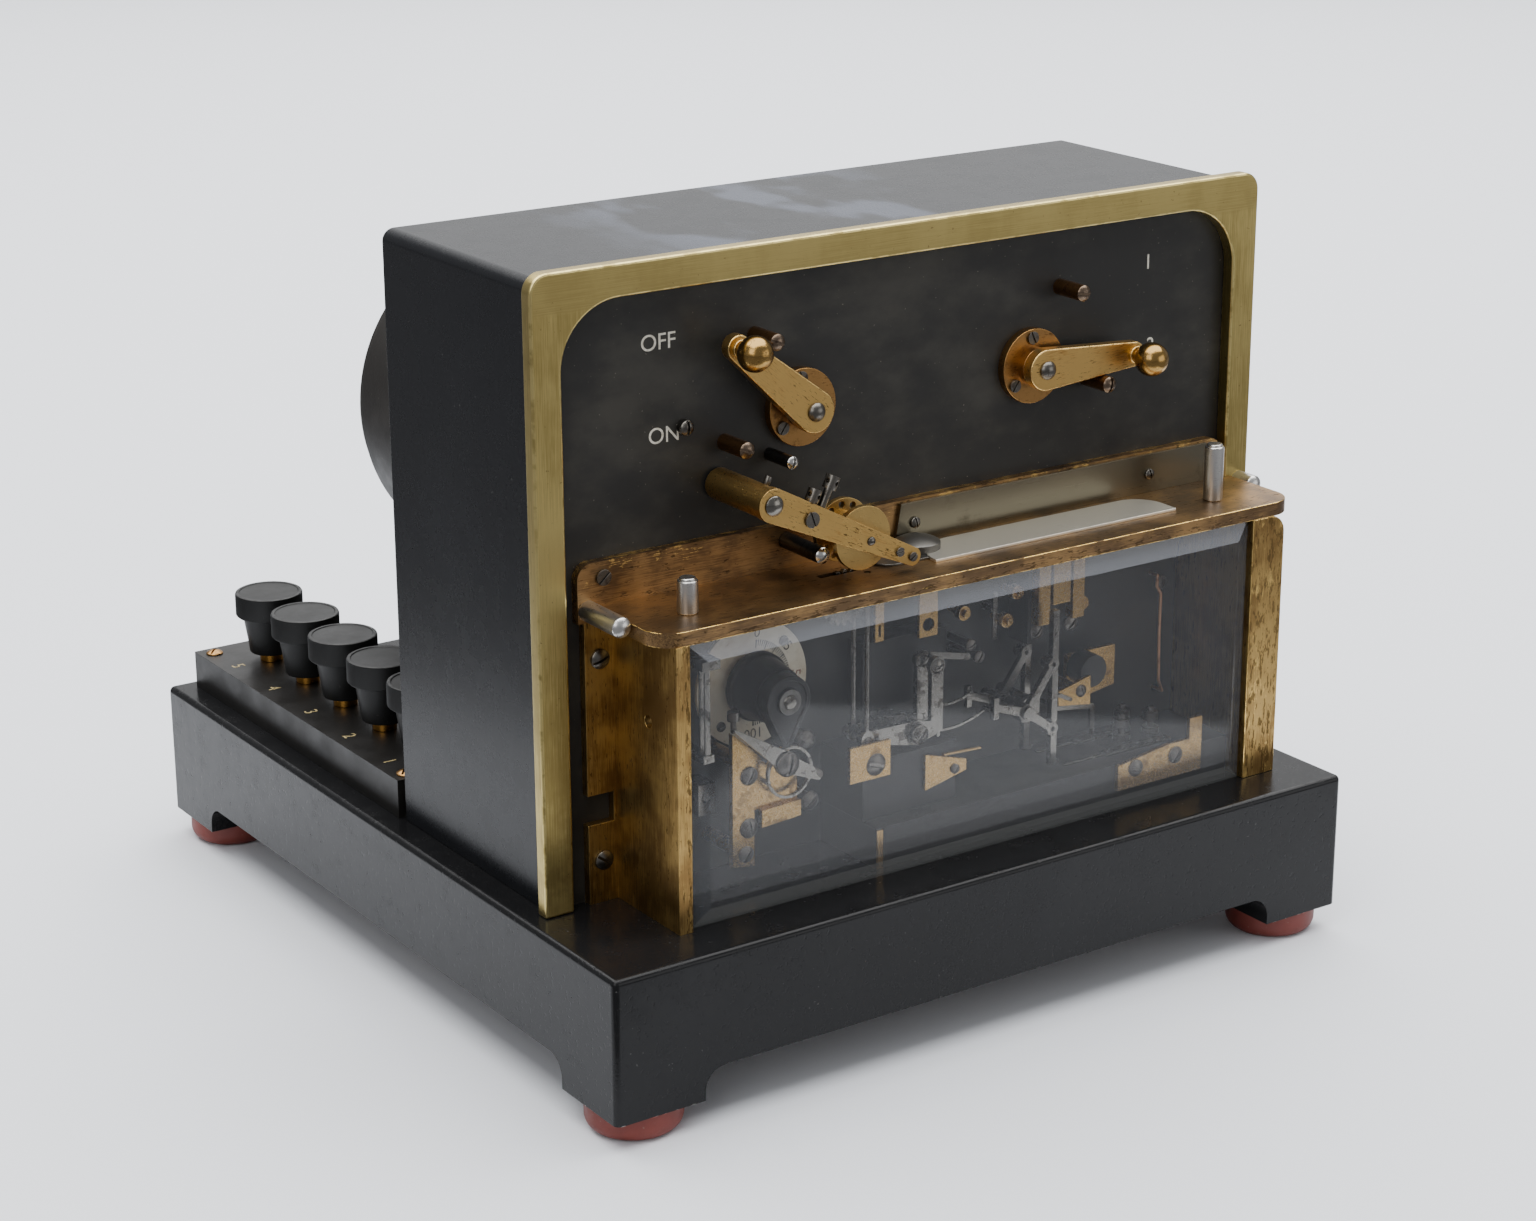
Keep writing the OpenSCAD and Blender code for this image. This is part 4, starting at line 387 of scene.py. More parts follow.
motor_brass = lever_brass("motor_lever_brass", 139.5)
key_brass = lever_brass("key_lever_brass", 2)
arm_brass = lever_brass("presser_arm_brass", -25.8)
ball_brass = metal("polished_ball", (0.36, 0.22, 0.07), (0.20, 0.11, 0.038), 0.2, 0.3, 3, pits=0.5)
wheel_brass = metal("wheel_brass", (0.56, 0.38, 0.14), (0.36, 0.22, 0.08), 0.3, 0.35, 12,
                    brush_size=0.5, pits=0.4, edge=(0.70, 0.48, 0.18))
flange_brass = metal("brown_brass", (0.38, 0.21, 0.075), (0.17, 0.09, 0.035), 0.3, 0.5, 4,
                     pits=0.6)
pin_brown = metal("lacquered_pin", (0.27, 0.14, 0.055), (0.11, 0.055, 0.028), 0.3, 0.5, 4)
pin_end = metal("pin_ends", (0.17, 0.125, 0.09), (0.08, 0.055, 0.04), 0.3, 0.5, 2)
collar_gold = metal("collar_gold", (0.72, 0.36, 0.08), (0.40, 0.18, 0.05), 0.16, 0.3, 6)
copper = metal("copper_wire", (0.55, 0.30, 0.17), (0.25, 0.12, 0.06), 0.35, 0.5, 4)
print("brasses and copper ready")

# %% [markdown]
# The bezel is brass sheet, brushed along each of its bars and lacquered, which has gone a
# little green. The brush marks must turn at the corners: above a height the marks run level,
# and on the two legs they run upright.

# %% Bezel brass
def bezel_finish():
    """Greenish brass with brush marks that turn at the corners, darker low down, and with painted
    shade on the top bar.
    """
    skin = Finish("bezel_brass", Metallic=1.0)
    low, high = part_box("brass_bezel")
    level = skin.noise(0.32, 3, 0.65, stretch=(60, 1, 1))
    upright = skin.noise(0.32, 3, 0.65, stretch=(1, 1, 60))
    on_bar = skin.axis("Z").rise(high[2] - 0.0135, high[2] - 0.0105)
    lines = level * on_bar + upright * (1 - on_bar)
    clouds = skin.noise(34, 5, 0.66, stretch=(1, 1, 2))
    base = skin.mix((clouds + (lines - 0.5) * 0.7).rise(0.34, 0.68), (0.60, 0.475, 0.185),
                    (0.36, 0.275, 0.095))
    # Painted shade: the whole top bar is mixed halfway toward a darker copy of the same brass.
    base = skin.mix(on_bar * 0.5, base, (0.40, 0.31, 0.115))
    lower = skin.axis("Z").rise(0.13, 0.06) * skin.noise(16, 4, 0.7, shift=0.3).rise(0.42, 0.62)
    base = skin.mix(lower * 0.55, base, (0.24, 0.17, 0.06))
    worn = skin.worn_edge() * skin.noise(5, 3, 0.6).rise(0.35, 0.55)
    spots = skin.noise(1.3, 2, 0.6, shift=0.5).rise(0.70, 0.74)
    base = skin.mix(worn * 0.8, base, (0.76, 0.62, 0.26))
    skin.feed("Base Color", skin.mix(spots * 0.6, base, (0.14, 0.09, 0.04)))
    skin.feed("Roughness", 0.29 + (lines - 0.5) * 0.2 + clouds * 0.06)
    skin.bump(lines, 0.012)
    return skin


bezel_brass = bezel_finish()
print("bezel ready")

# %% [markdown]
# The deck and the posts were lacquered brown. Tape, hands and screwdrivers have scraped the
# lacquer off in flakes and along the edges, where the metal is bright gold, and there are dark
# pits near the edges. The rounded edges are painted brighter than the bare gold, partly as
# rubbed metal and partly as a painted highlight. The flakes are a noise that has to pass a
# threshold, and the distance from the nearest edge of the node's own box lowers or raises what
# it must pass.

# %% Deck and post brass
def patina_finish(name, node, brown, warm, gold, brush, scraped, upstand=0.0):
    """Brown lacquered brass, scraped back to gold along its edges and in flakes, with a painted
    highlight on its rounded edges.

    upstand is how much more the top 10 mm of a piece is scraped than the rest."""
    skin = Finish(name, Metallic=1.0)
    low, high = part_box(node)
    off_edge = skin.off_edges(low, high) * (1 / MM)
    lines = skin.noise(0.35, 4, 0.65, stretch=brush)
    flakes = skin.noise(5, 5, 0.75, stretch=tuple(max(1, b * 0.08) for b in brush), shift=0.2)
    base = skin.mix((skin.noise(19, 4, 0.6) + (lines - 0.5) * 0.7).rise(0.36, 0.66), brown, warm)
    standing = skin.axis("Z").rise(high[2] - 0.015, high[2] - 0.010) * upstand
    bare = (flakes + (lines - 0.5) * 0.4 - off_edge * 0.03 + scraped + standing).rise(0.5, 0.56)
    along = tuple(min(4, b) for b in brush)
    # rim is the rounded edges: rubbed gold that is painted still brighter as a painted highlight,
    # and made smoother too.
    rim = skin.worn_edge() * skin.noise(1.3, 4, 0.72, stretch=along, shift=0.8).rise(0.40, 0.47)
    base = skin.mix(bare * 0.85, base, gold)
    base = skin.mix(rim, base, tuple(min(1.0, c * 1.16) for c in gold))
    near_edge = 1 - (off_edge * 0.25).rise(0.1, 1.0)
    rust = (skin.noise(1.1, 3, 0.7, stretch=along, shift=0.35) + near_edge * 0.09).rise(0.62, 0.66)
    skin.feed("Base Color", skin.mix(rust * 0.75, base, darker(brown, 0.35)))
    skin.feed("Roughness", 0.38 + (lines - 0.5) * 0.25 - rim * 0.2 + rust * 0.2)
    skin.bump(lines + bare * 0.6 - rust, 0.015)
    return skin


deck_brass = patina_finish("deck_brass", "tape_deck", (0.165, 0.105, 0.057), (0.41, 0.25, 0.11),
                           (0.88, 0.58, 0.19), (24, 1, 1), -0.13, 0.15)
post_brass = patina_finish("post_brass", "left_post", (0.26, 0.155, 0.055), (0.54, 0.36, 0.13),
                           (0.80, 0.55, 0.19), (1, 1, 26), -0.09)
print("patina ready")

# %% [markdown]
# The compartment's front is plate glass with bevelled edges. Seen from the camera it mirrors
# the pale room, so it is hazy grey and what is behind it looks dim. A thin veil does that
# cleanly: the glass lets most light straight through and lays a little grey and gloss over it;
# the grey is a painted reflection of the room. The bevels face the ceiling and the walls, so
# their veils are paler, as painted reflections of them.

# %% Glass finishes
def veil(name, colour, alpha, rough):
    """A sheet of glass as a thin glossy veil."""
    return Finish(name, Base_Color=(*colour, 1), Alpha=alpha, Roughness=rough, IOR=2.4)


# Painted reflections: each veil's grey stands for what that glass would mirror, the room for the
# plate, and the ceiling, the walls and the paper for the bevels.
plate_glass = veil("plate_glass", (0.24, 0.25, 0.27), 0.10, 0.04)
top_bevel_painted_reflection = veil("top_bevel_painted_reflection", (0.24, 0.26, 0.31), 0.34, 0.06)
side_bevel_painted_reflection = veil("side_bevel_painted_reflection", (0.26, 0.28, 0.31), 0.16, 0.06)
low_bevel_painted_reflection = veil("low_bevel_painted_reflection", (0.40, 0.41, 0.40), 0.36, 0.12)
print("glass veils ready")

# %% [markdown]
# The dial is a cream card that has gone brown in clouds and is rubbed dark in places. Its marks
# and the fillings of the engraved words are paints that wear unevenly between two colours.

# %% Dial card and inks
def cream_finish():
    """Old cream card, with brown clouds and small rubbed patches."""
    card = Finish("dial_cream", Roughness=0.42)
    aged = card.noise(9, 4, 0.6).rise(0.4, 0.75)
    rubbed = card.noise(1.6, 3, 0.65, shift=0.3).rise(0.62, 0.72)
    base = card.mix(aged * 0.7, (0.80, 0.74, 0.58), (0.56, 0.45, 0.27))
    card.feed("Base Color", card.mix(rubbed * 0.6, base, (0.22, 0.15, 0.08)))
    card.feed("Roughness", 0.42 + aged * 0.15)
    return card


def plain_ink(name, colour, other, rough=0.5):
    """A paint that wears unevenly between two colours."""
    ink = Finish(name)
    ink.feed("Base Color", ink.mix(ink.noise(1.5, 3, 0.6).rise(0.4, 0.65), colour, other))
    ink.feed("Roughness", rough + ink.noise(3, 2) * 0.1)
    return ink


dial_cream = cream_finish()
dial_ink = plain_ink("dial_ink", (0.03, 0.028, 0.025), (0.09, 0.07, 0.05))
red_ink = plain_ink("faded_red_ink", (0.20, 0.05, 0.03), (0.28, 0.13, 0.08))
letter_fill = plain_ink("letter_fill", (0.72, 0.69, 0.60), (0.50, 0.47, 0.38))
gold_fill = plain_ink("gold_fill", (0.48, 0.38, 0.17), (0.20, 0.15, 0.06))
print("dial card and inks ready")

# %% [markdown]
# The field coils are wound in varnished cotton-covered wire. They hide in the motor, so bands
# of a wave texture stand for the turns.

# %% Winding
def winding_finish():
    """Brown bands, one for each turn of wire."""
    cotton = Finish("varnished_winding")
    turns = cotton.node("ShaderNodeTexWave", {"wave_type": "BANDS", "bands_direction": "Y"},
                        {"Vector": cotton.place, "Scale": 330.0, "Distortion": 1.5})
    cotton.feed("Base Color", cotton.mix(turns, (0.05, 0.018, 0.008), (0.16, 0.065, 0.025)))
    cotton.feed("Roughness", 0.38 + turns * 0.2)
    cotton.bump(turns, 0.2)
    return cotton


winding = winding_finish()
print("winding ready")

# %% [markdown]
# Nothing made in a workshop has perfectly sharp edges: a rounded edge catches a thin line of
# light, and that line is what makes metal look solid. A node can hold several solids, such as
# a group of screws, and a bevel that fails on one shouldn't spoil the others. So each solid is
# first copied into a shape of its own, by walking from face to face over shared edges. The
# faces wait in a list, because a list keeps its order and so gives the same mesh on each run.

# %% One solid at a time
WELD = 0.002 * MM                    # points closer than this are one point
FLAT = radians(0.6)                  # faces that turn less than this are one flat face


def separate(shape):
    """Yields each closed solid of a shape as a shape of its own."""
    left = set(shape.faces)
    for seed in list(shape.faces):
        if seed not in left:
            continue
        left.discard(seed)
        group, front = [], [seed]
        while front:
            face = front.pop()
            group.append(face)
            for other in [near for edge in face.edges for near in edge.link_faces]:
                if other in left:
                    left.discard(other)
                    front.append(other)
        single = bmesh.new()
        single.faces.layers.float.new("edge")
        moved = {}
        for face in group:
            for corner in face.verts:
                if corner not in moved:
                    moved[corner] = single.verts.new(corner.co)
            single.faces.new([moved[corner] for corner in face.verts])
        single.normal_update()
        yield single


print("solids can be taken one by one")

# %% [markdown]
# A bevel rounds a solid's outer edges. Its faces get an attribute, so that a finish can rub
# them bright. A rounded solid must still be closed and can't be bulkier than before. If it is,
# a narrower bevel is tried, and the last resort is the edge as it was.

# %% Rounding the edges of a solid
def bulk(shape):
    """The volume of a closed shape, or 0 for one with an open edge."""
    closed = all(len(edge.link_faces) == 2 for edge in shape.edges)
    return shape.calc_volume(signed=True) if closed else 0


def soften(single, width, segments, sharp, chosen):
    """A copy of a solid with its outer edges rounded, and the width that worked."""
    full = bulk(single)
    for size in (width, width / 2, width / 4):
        trial = single.copy()
        layer = trial.faces.layers.float["edge"]
        edges = [e for e in trial.edges if len(e.link_faces) == 2
                 and e.calc_face_angle_signed(0) > radians(sharp) and (not chosen or chosen(e))]
        made = bmesh.ops.bevel(trial, geom=edges, offset=size * MM, offset_type="OFFSET",
                               segments=segments, profile=0.5, affect="EDGES",
                               clamp_overlap=True, material=-1)
        for face in made["faces"]:
            face[layer] = 1.0
        if full > 0 and 0.8 * full < bulk(trial) < 1.0002 * full:
            return trial, size
        trial.free()
    return single.copy(), 0


print("edges can be rounded")

# %% [markdown]
# A finished piece is shaded smooth, with its real creases kept sharp, and a Weighted Normal
# modifier keeps large flat faces flat next to their rounded edges. It says which body it rides
# on, and the nodes it stands for are hidden.

# %% Finished pieces
def finished(name, shape, finishes, body, slot, nodes=(), crease=38):
    """Makes a piece from a shape, says what it rides on, and hides the nodes it stands for."""
    for face in shape.faces:
        face.smooth = True
    for edge in shape.edges:
        edge.smooth = len(edge.link_faces) == 2 and edge.calc_face_angle(0) < radians(crease)
    mesh = bpy.data.meshes.new(name)
    shape.to_mesh(mesh)
    shape.free()
    piece = bpy.data.objects.new(name, mesh)
    bpy.context.scene.collection.objects.link(piece)
    for finish in finishes:
        mesh.materials.append(finish.material)
    flat = piece.modifiers.new("flat faces", "WEIGHTED_NORMAL")
    flat.keep_sharp = True
    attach(piece, body)
    if nodes:
        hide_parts(*nodes)
    return piece


print("pieces can be finished")

# %% [markdown]
# Dressing a node is what most of the object needs. The node's mesh is loose triangles that are
# left alone, so a copy is merged and its flat faces are joined before its edges are rounded.
# A deck or a lever needs more than that: `chosen` rounds some edges widely first, and `pick`
# gives faces different finishes by their place.

# %% Dressing a node
def dress(node, finish, slot, width=0.2, segments=2, sharp=40, chosen=None, pick=None):
    """Replaces a CAD node by a copy of it with rounded edges and a finish."""
    solid = frame["nodes"][node]
    whole = bmesh.new()
    whole.from_mesh(solid.data)
    bmesh.ops.remove_doubles(whole, verts=whole.verts, dist=WELD)
    bmesh.ops.dissolve_limit(whole, angle_limit=FLAT, verts=whole.verts, edges=whole.edges)
    joined = bmesh.new()
    joined.faces.layers.float.new("edge")
    widths = []
    for single in separate(whole):
        if chosen:
            single, _ = soften(single, *chosen[1:], sharp, chosen[0])
        soft, size = soften(single, width, segments, sharp, None)
        widths.append(size)
        passing = bpy.data.meshes.new("passing")
        soft.to_mesh(passing)
        joined.from_mesh(passing)
        bpy.data.meshes.remove(passing)
        soft.free()
        single.free()
    whole.free()
    worn = sum(face[joined.faces.layers.float["edge"]] > 0.5 for face in joined.faces)
    if pick:
        for face in joined.faces:
            face.material_index = pick(*millimetres(face.calc_center_median()))
    finishes = finish if isinstance(finish, list) else [finish]
    piece = finished(node + ".finished", joined, finishes, solid["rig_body"], slot, [node])
    print(f"{node}: {len(piece.data.polygons)} faces, {worn} rubbed, "
          f"edges {sorted(set(widths))} mm")


print("nodes can be dressed")

# %% [markdown]
# The stand comes first: plinth, bottom board, feet and the sheet metal case. Their edges are
# rounded as a painted casting's or a folded sheet's are.

# %% Plinth and case
dress("base_plinth", japan, "black_casting", 0.5, 2)
dress("bottom_board", board, "board", 0.5)
dress("rubber_feet", rubber, "rubber", 0.5)
dress("case_shell", stoved, "black_sheet", 0.4, 2)
dress("front_panel", panel_sheet, "panel_black", 0.2)
dress("brass_bezel", bezel_brass, "bright_brass", 0.8, 3)

# %% [markdown]
# The deck is a brass plate with a rounded front edge, which tape and sleeves have polished to
# gold. So its outline is rounded widely first, and everything else a little after that. The
# two posts are the same brass, brushed upright.

# %% Deck and posts
deck_low, deck_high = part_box("tape_deck")
PLATE_TOP = 94.3                     # the deck plate's upper face
DECK_CORNER = 9                      # its rounded corners end within this


def deck_outline(edge):
    """True for the edges round the deck plate, but not those of its holes or its upstand."""
    spot = (edge.verts[0].co + edge.verts[1].co) / 2
    front = spot.y < deck_low[1] + 0.3 * MM
    side = min(spot.x - deck_low[0], deck_high[0] - spot.x) < DECK_CORNER * MM
    of_plate = spot.z < at(0, 0, PLATE_TOP + 0.1).z and spot.y < deck_high[1] - 8 * MM
    return (front or side) and of_plate


dress("tape_deck", deck_brass, "old_brass", 0.3, 2, chosen=(deck_outline, 1.6, 4))
for node in ("left_post", "right_post"):
    dress(node, post_brass, "old_brass", 0.6, 3)
dress("tape_back_plate", nickel, "nickel", 0.25)
dress("tape_bed", bed_nickel, "nickel", 0.2)
dress("tape_shoe", shoe_steel, "steel", 0.3, 3)
dress("guide_pins", pin_steel, "steel", 0.45, 3)

# %% [markdown]
# Switches, stops and the presser stand on the panel. One solid can be two metals to the eye:
# a lacquered pin has a bare slotted end, and a lever ends in a polished ball. So a function of
# the place of a face, in the drawing's millimetres, picks which finish of a list it takes.

# %% Panel fittings
SWITCH_AXES, SWITCH_HEIGHT, AXIS_HEAD = (-41, 47.9), 143.6, 3.3
PIN_END, LOW_PIN_END = 42, 32        # a face nearer the front than this is a pin's end


def pin_faces(x, y, z):
    """Brown sides and greyer ends, but two pins are dark with a steel end, and one is all dark."""
    if x < -80:
        return 3
    if z < 132 and x > -60:
        return 2 if y < (PIN_END if z > 110 else LOW_PIN_END) else 4
    return 1 if y < PIN_END else 0


def lever_faces(x, y, z):
    """The lever, its ball, and the steel head on its axis."""
    near_axis = any((x - axis) ** 2 + (z - SWITCH_HEIGHT) ** 2 < AXIS_HEAD ** 2
                    for axis in SWITCH_AXES)
    return (2 if y < 44 else 0) if near_axis else (1 if y < 42.3 else 0)


dress("switch_bosses", flange_brass, "old_brass", 0.4, 3)
dress("stop_pins", [pin_brown, pin_end, steel, dark_steel, black_steel], "old_brass", 0.25,
      pick=pin_faces)
dress("panel_screws", dark_steel, "dark_steel", 0.15)
dress("presser_spindle", mech_steel, "steel", 0.3)
for node, brass in (("motor_switch_lever", motor_brass), ("key_switch_lever", key_brass)):
    dress(node, [brass, ball_brass, dark_steel], "old_brass", 0.45, 3, pick=lever_faces)
dress("presser_arm", arm_brass, "old_brass", 0.4, 3)
dress("presser_screws", dark_steel, "dark_steel", 0.15)
dress("presser_wheel", wheel_brass, "old_brass", 0.25)

# %% [markdown]
# Behind the glass is the movement. Its plates are brass, its levers steel and its blocks
# ebonite, all with small crisp edges. The motor, the gears and the terminal strip need nothing
# more either, so one table of finish, slot, width of edge and nodes dresses them all.

# %% Movement, motor and terminal strip
KNOB_LINE = -114.6                   # the terminals' row, from the plinth's middle
MOVEMENT = [
    (mech_brass, "old_brass", 0.25, "lever_bracket contact_bracket crank_plates relay_posts "
     "gear_plate idler_gear brush_holders"),
    (mech_steel, "steel", 0.12, "jockey_lever contact_springs contact_strips pivot_spindles "
     "bell_crank_front bell_crank_rear pecker_front pecker_rear rocker_front rocker_rear "
     "star_wheel armature"),
    (dark_steel, "dark_steel", 0.15, "mech_screws"),
    (ebonite, "ebonite", 0.3, "crank_block relay_block mech_shelf"),
    (copper, "copper_wire", 0.1, "connecting_wires"),
    (bronze_black, "motor_bronze", 0.6, "motor_yoke motor_ends motor_cradle"),
    (winding, "winding", 0.6, "field_coils"),
    (dial_cream, "dial", 0.15, "speed_dial"),
    (ebonite, "ebonite", 0.5, "terminal_block"),
]
for finish, slot, width, names in MOVEMENT:
    for node in names.split():
        dress(node, finish, slot, width)
dress("terminal_studs", [collar_gold, flange_brass], "bright_brass", 0.3,
      pick=lambda x, y, z: int(abs(x - KNOB_LINE) > 8))

# %% [markdown]
# The glass keeps its own flat facets. The ones that face neither front nor back are the
# bevels and the ground edges: the upper ones take a painted reflection of the ceiling, the side
# ones of the walls, and the lower one of the paper.

# %% Glass
glass = bmesh.new()
glass.from_mesh(frame["nodes"]["front_glass"].data)
bmesh.ops.remove_doubles(glass, verts=glass.verts, dist=WELD)
bmesh.ops.dissolve_limit(glass, angle_limit=FLAT, verts=glass.verts, edges=glass.edges)
PLATE, TOP, SIDE, LOW = range(4)
# Each facet takes the veil with the painted reflection that suits the way it faces.
for face in glass.faces:
    x, y, z = face.normal
    edge_facet = SIDE if abs(x) > abs(z) else TOP if z > 0 else LOW
    face.material_index = PLATE if abs(y) > 0.99 else edge_facet
pane = finished("front_glass.finished", glass, [plate_glass, top_bevel_painted_reflection, side_bevel_painted_reflection, low_bevel_painted_reflection],
                frame["nodes"]["front_glass"]["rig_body"], "glass", ["front_glass"], crease=5)
print("glass faces", len(pane.data.polygons))

# %% [markdown]
# Turned pieces are spun from half an outline, as on a lathe. A spin through a full turn with
# `use_merge` closes on itself, and the points on the axis are merged after it. Pushing every
# other row of points inwards turns the smooth grip into a ribbed one.

# %% A lathe
def lathe(profile, steps, ribs=0.0, rib_radius=0.0):
    """A shape spun round Z from (radius, height) pairs in mm. ribs is the depth of its ribs."""
    shape = bmesh.new()
    line = [shape.verts.new((radius * MM, 0, height * MM)) for radius, height in profile]
    edges = [shape.edges.new(pair) for pair in zip(line, line[1:])]
    bmesh.ops.spin(shape, geom=line + edges, cent=(0, 0, 0), axis=(0, 0, 1), angle=tau,
                   steps=steps, use_merge=True)
    bmesh.ops.remove_doubles(shape, verts=shape.verts, dist=WELD)
    bmesh.ops.recalc_face_normals(shape, faces=shape.faces)
    for point in shape.verts:
        row = round(atan2(point.co.y, point.co.x) / tau * steps)
        if ribs and row % 2 and point.co.xy.length > rib_radius * MM:
            point.co.xy *= 1 - ribs * MM / point.co.xy.length
    shape.faces.layers.float.new("edge")
    return shape


def mark_rubbed(shape, test):
    """Marks the faces that the wear of a finish falls on, for a test of radius and height."""
    layer = shape.faces.layers.float["edge"]
    for face in shape.faces:
        spot = face.calc_center_median() / MM
        face[layer] = float(test(spot.xy.length, spot.z))


print("lathe ready")

# %% [markdown]
# The five terminal knobs are alike: a stem that widens upwards, a shoulder, and a grip with
# fine ribs round a slightly dished top. The rims of the dish and the shoulder are rubbed.

# %% Terminal knobs
KNOB_PITCH, FIRST_KNOB = 28.5, 163   # from knob to knob, and how far back the first one is
STRIP_TOP = 13
KNOB_PROFILE = [(0, 20.6), (2.6, 20.6), (2.6, 3.4), (6.9, 3.4), (7.4, 3.6), (7.65, 4.1),
                (8.1, 8), (8.7, 12), (9.3, 16.2), (9.6, 16.8), (10.4, 17), (11.3, 17.05),
                (11.85, 17.6), (11.85, 24.8), (11.6, 25.3), (11.2, 25.5), (10.5, 25.45),
                (10.2, 25.15), (5, 25.1), (0, 25.1)]
for number in range(1, 6):
    knob = lathe(KNOB_PROFILE, 128, 0.34, 11.8)
    mark_rubbed(knob, lambda radius, height: height > 25.2 or radius > 9.2 and height < 17)
    knob_y = FIRST_KNOB + KNOB_PITCH * (number - 1)
    bmesh.ops.translate(knob, verts=knob.verts, vec=at(KNOB_LINE, knob_y, STRIP_TOP))
    node = f"terminal_knob_{number}"
    finished(node + ".ribbed", knob, [knob_black], frame["nodes"][node]["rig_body"], "ebonite",
             [node])
print("terminal knobs")

# %% [markdown]
# The speed knob turns in front of the dial. Its skirt and cone are turned on the same lathe,
# with the sleeve that runs back through the panel, and then laid over to face the front.

# %% Speed knob: skirt
DIAL_X, DIAL_Z, DIAL_FACE = -60.8, 59.5, 50
FACING = Matrix.Translation(at(DIAL_X, 48.5, DIAL_Z)) @ Matrix.Rotation(radians(90), 4, "X")
speed_body = frame["nodes"]["speed_knob"]["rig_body"]

skirt = lathe([(0, -15.5), (5, -15.5), (5, -9.8), (2.9, -9.8), (2.9, 0), (10.6, 0), (11, 0.4),
               (11, 2.4), (10.7, 2.9), (10.4, 3.1), (10.2, 3.4), (10, 4.4), (8.9, 12.4),
               (8.6, 13.3), (0, 13.3)], 96)
mark_rubbed(skirt, lambda radius, height: radius > 10.4 and 2 < height < 3.2)
skirt.transform(FACING)
finished("speed_knob.skirt", skirt, [ebonite], speed_body, "ebonite", ["speed_knob"])
print("speed knob's skirt")

# %% [markdown]
# A drop-shaped pointer lies on the knob's face. Its form is the hull of two pairs of circles,
# a large one round the axis and a small one at the tip. Its face is inset twice, and the second
# inset is sunk, which leaves a raised rim.

# %% Speed knob: pointer
pointer = bmesh.new()
pointer.faces.layers.float.new("edge")
for height in (12.9, 18.5):
    for x, z, radius in ((0, 0, 8), (-0.5, -13, 2)):
        bmesh.ops.create_circle(pointer, segments=64, radius=radius * MM,
                                matrix=Matrix.Translation(Vector((x, z, height)) * MM))
hull = bmesh.ops.convex_hull(pointer, input=pointer.verts, use_existing_faces=False)
inside = [part for part in hull["geom_interior"] if isinstance(part, bmesh.types.BMVert)]
bmesh.ops.delete(pointer, geom=inside, context="VERTS")
bmesh.ops.dissolve_limit(pointer, angle_limit=FLAT, verts=pointer.verts, edges=pointer.edges)
bmesh.ops.recalc_face_normals(pointer, faces=pointer.faces)
pointer, _ = soften(pointer, 0.5, 3, 40, None)
face = max(pointer.faces, key=lambda f: f.calc_center_median().z + f.calc_area())
bmesh.ops.inset_region(pointer, faces=[face], thickness=0.9 * MM, depth=0)
bmesh.ops.inset_region(pointer, faces=[face], thickness=0.25 * MM, depth=-0.5 * MM)
pointer.transform(FACING)
finished("speed_knob.pointer", pointer, [ebonite], speed_body, "ebonite")
print("speed knob's pointer")

# %% [markdown]
# A steel nut with a ribbed edge holds the pointer, and the end of the spindle shows in its
# middle. Both come from one profile, and the faces near the axis take the other steel.

# %% Speed knob: nut
nut = lathe([(0, 17.7), (4.2, 17.7), (4.2, 18.9), (4, 19.2), (3.1, 19.3), (2.7, 19.1),
             (2.3, 19.1), (2, 19.5), (1.2, 19.68), (0, 19.7)], 96, 0.3, 4.15)
for face in nut.faces:
    face.material_index = int(face.calc_center_median().xy.length < 2.3 * MM)
nut.transform(FACING)
finished("speed_knob.nut", nut, [shoe_steel, mech_steel], speed_body, "steel")
print("speed knob's nut")

# %% [markdown]
# The dial's ticks stand a few hundredths of a millimetre proud, like paint. Each one is a grid
# of a single face, narrowed towards the middle, extruded, and turned to its place. There are
# fifty steps from 0 to 100, and every fifth tick is longer.

# %% Dial ticks
DIAL_START, DIAL_STEP = 83, 3.44     # where the 0 is, and the turn from tick to tick, in degrees
TICK_OUTER = 13.9


def upright(x, y, z, turn=0):
    """The place and turn of something drawn flat that faces the front."""
    return (Matrix.Translation(at(x, y, z)) @ Matrix.Rotation(radians(90), 4, "X")
            @ Matrix.Rotation(radians(turn), 4, "Z"))


ticks = bmesh.new()
for step in range(51):
    inner, wide = (11.2, 0.7) if step % 5 == 0 else (11.9, 0.45)
    grown = bmesh.ops.create_grid(ticks, x_segments=1, y_segments=1, size=0.5)["verts"]
    for point in grown:
        outer = point.co.x > 0
        point.co.x = (TICK_OUTER if outer else inner) * MM
        point.co.y *= (wide if outer else wide * 0.4) * MM
    top = bmesh.ops.extrude_face_region(ticks, geom=list(grown[0].link_faces))
    raised = [part for part in top["geom"] if isinstance(part, bmesh.types.BMVert)]
    bmesh.ops.translate(ticks, verts=raised, vec=(0, 0, 0.05 * MM))
    bmesh.ops.transform(ticks, verts=grown + raised,
                        matrix=upright(DIAL_X, DIAL_FACE + 0.02, DIAL_Z,
                                       DIAL_START - DIAL_STEP * step))
bmesh.ops.recalc_face_normals(ticks, faces=ticks.faces)
dial_frame = frame["nodes"]["speed_dial"]["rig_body"]
finished("speed_dial.ticks", ticks, [dial_ink], dial_frame, "dial")
print("dial ticks")

# %% [markdown]
# Text is a curve, so it is turned into a mesh first, and the mesh is moved to its place. Words
# that share a finish and a body are one piece.

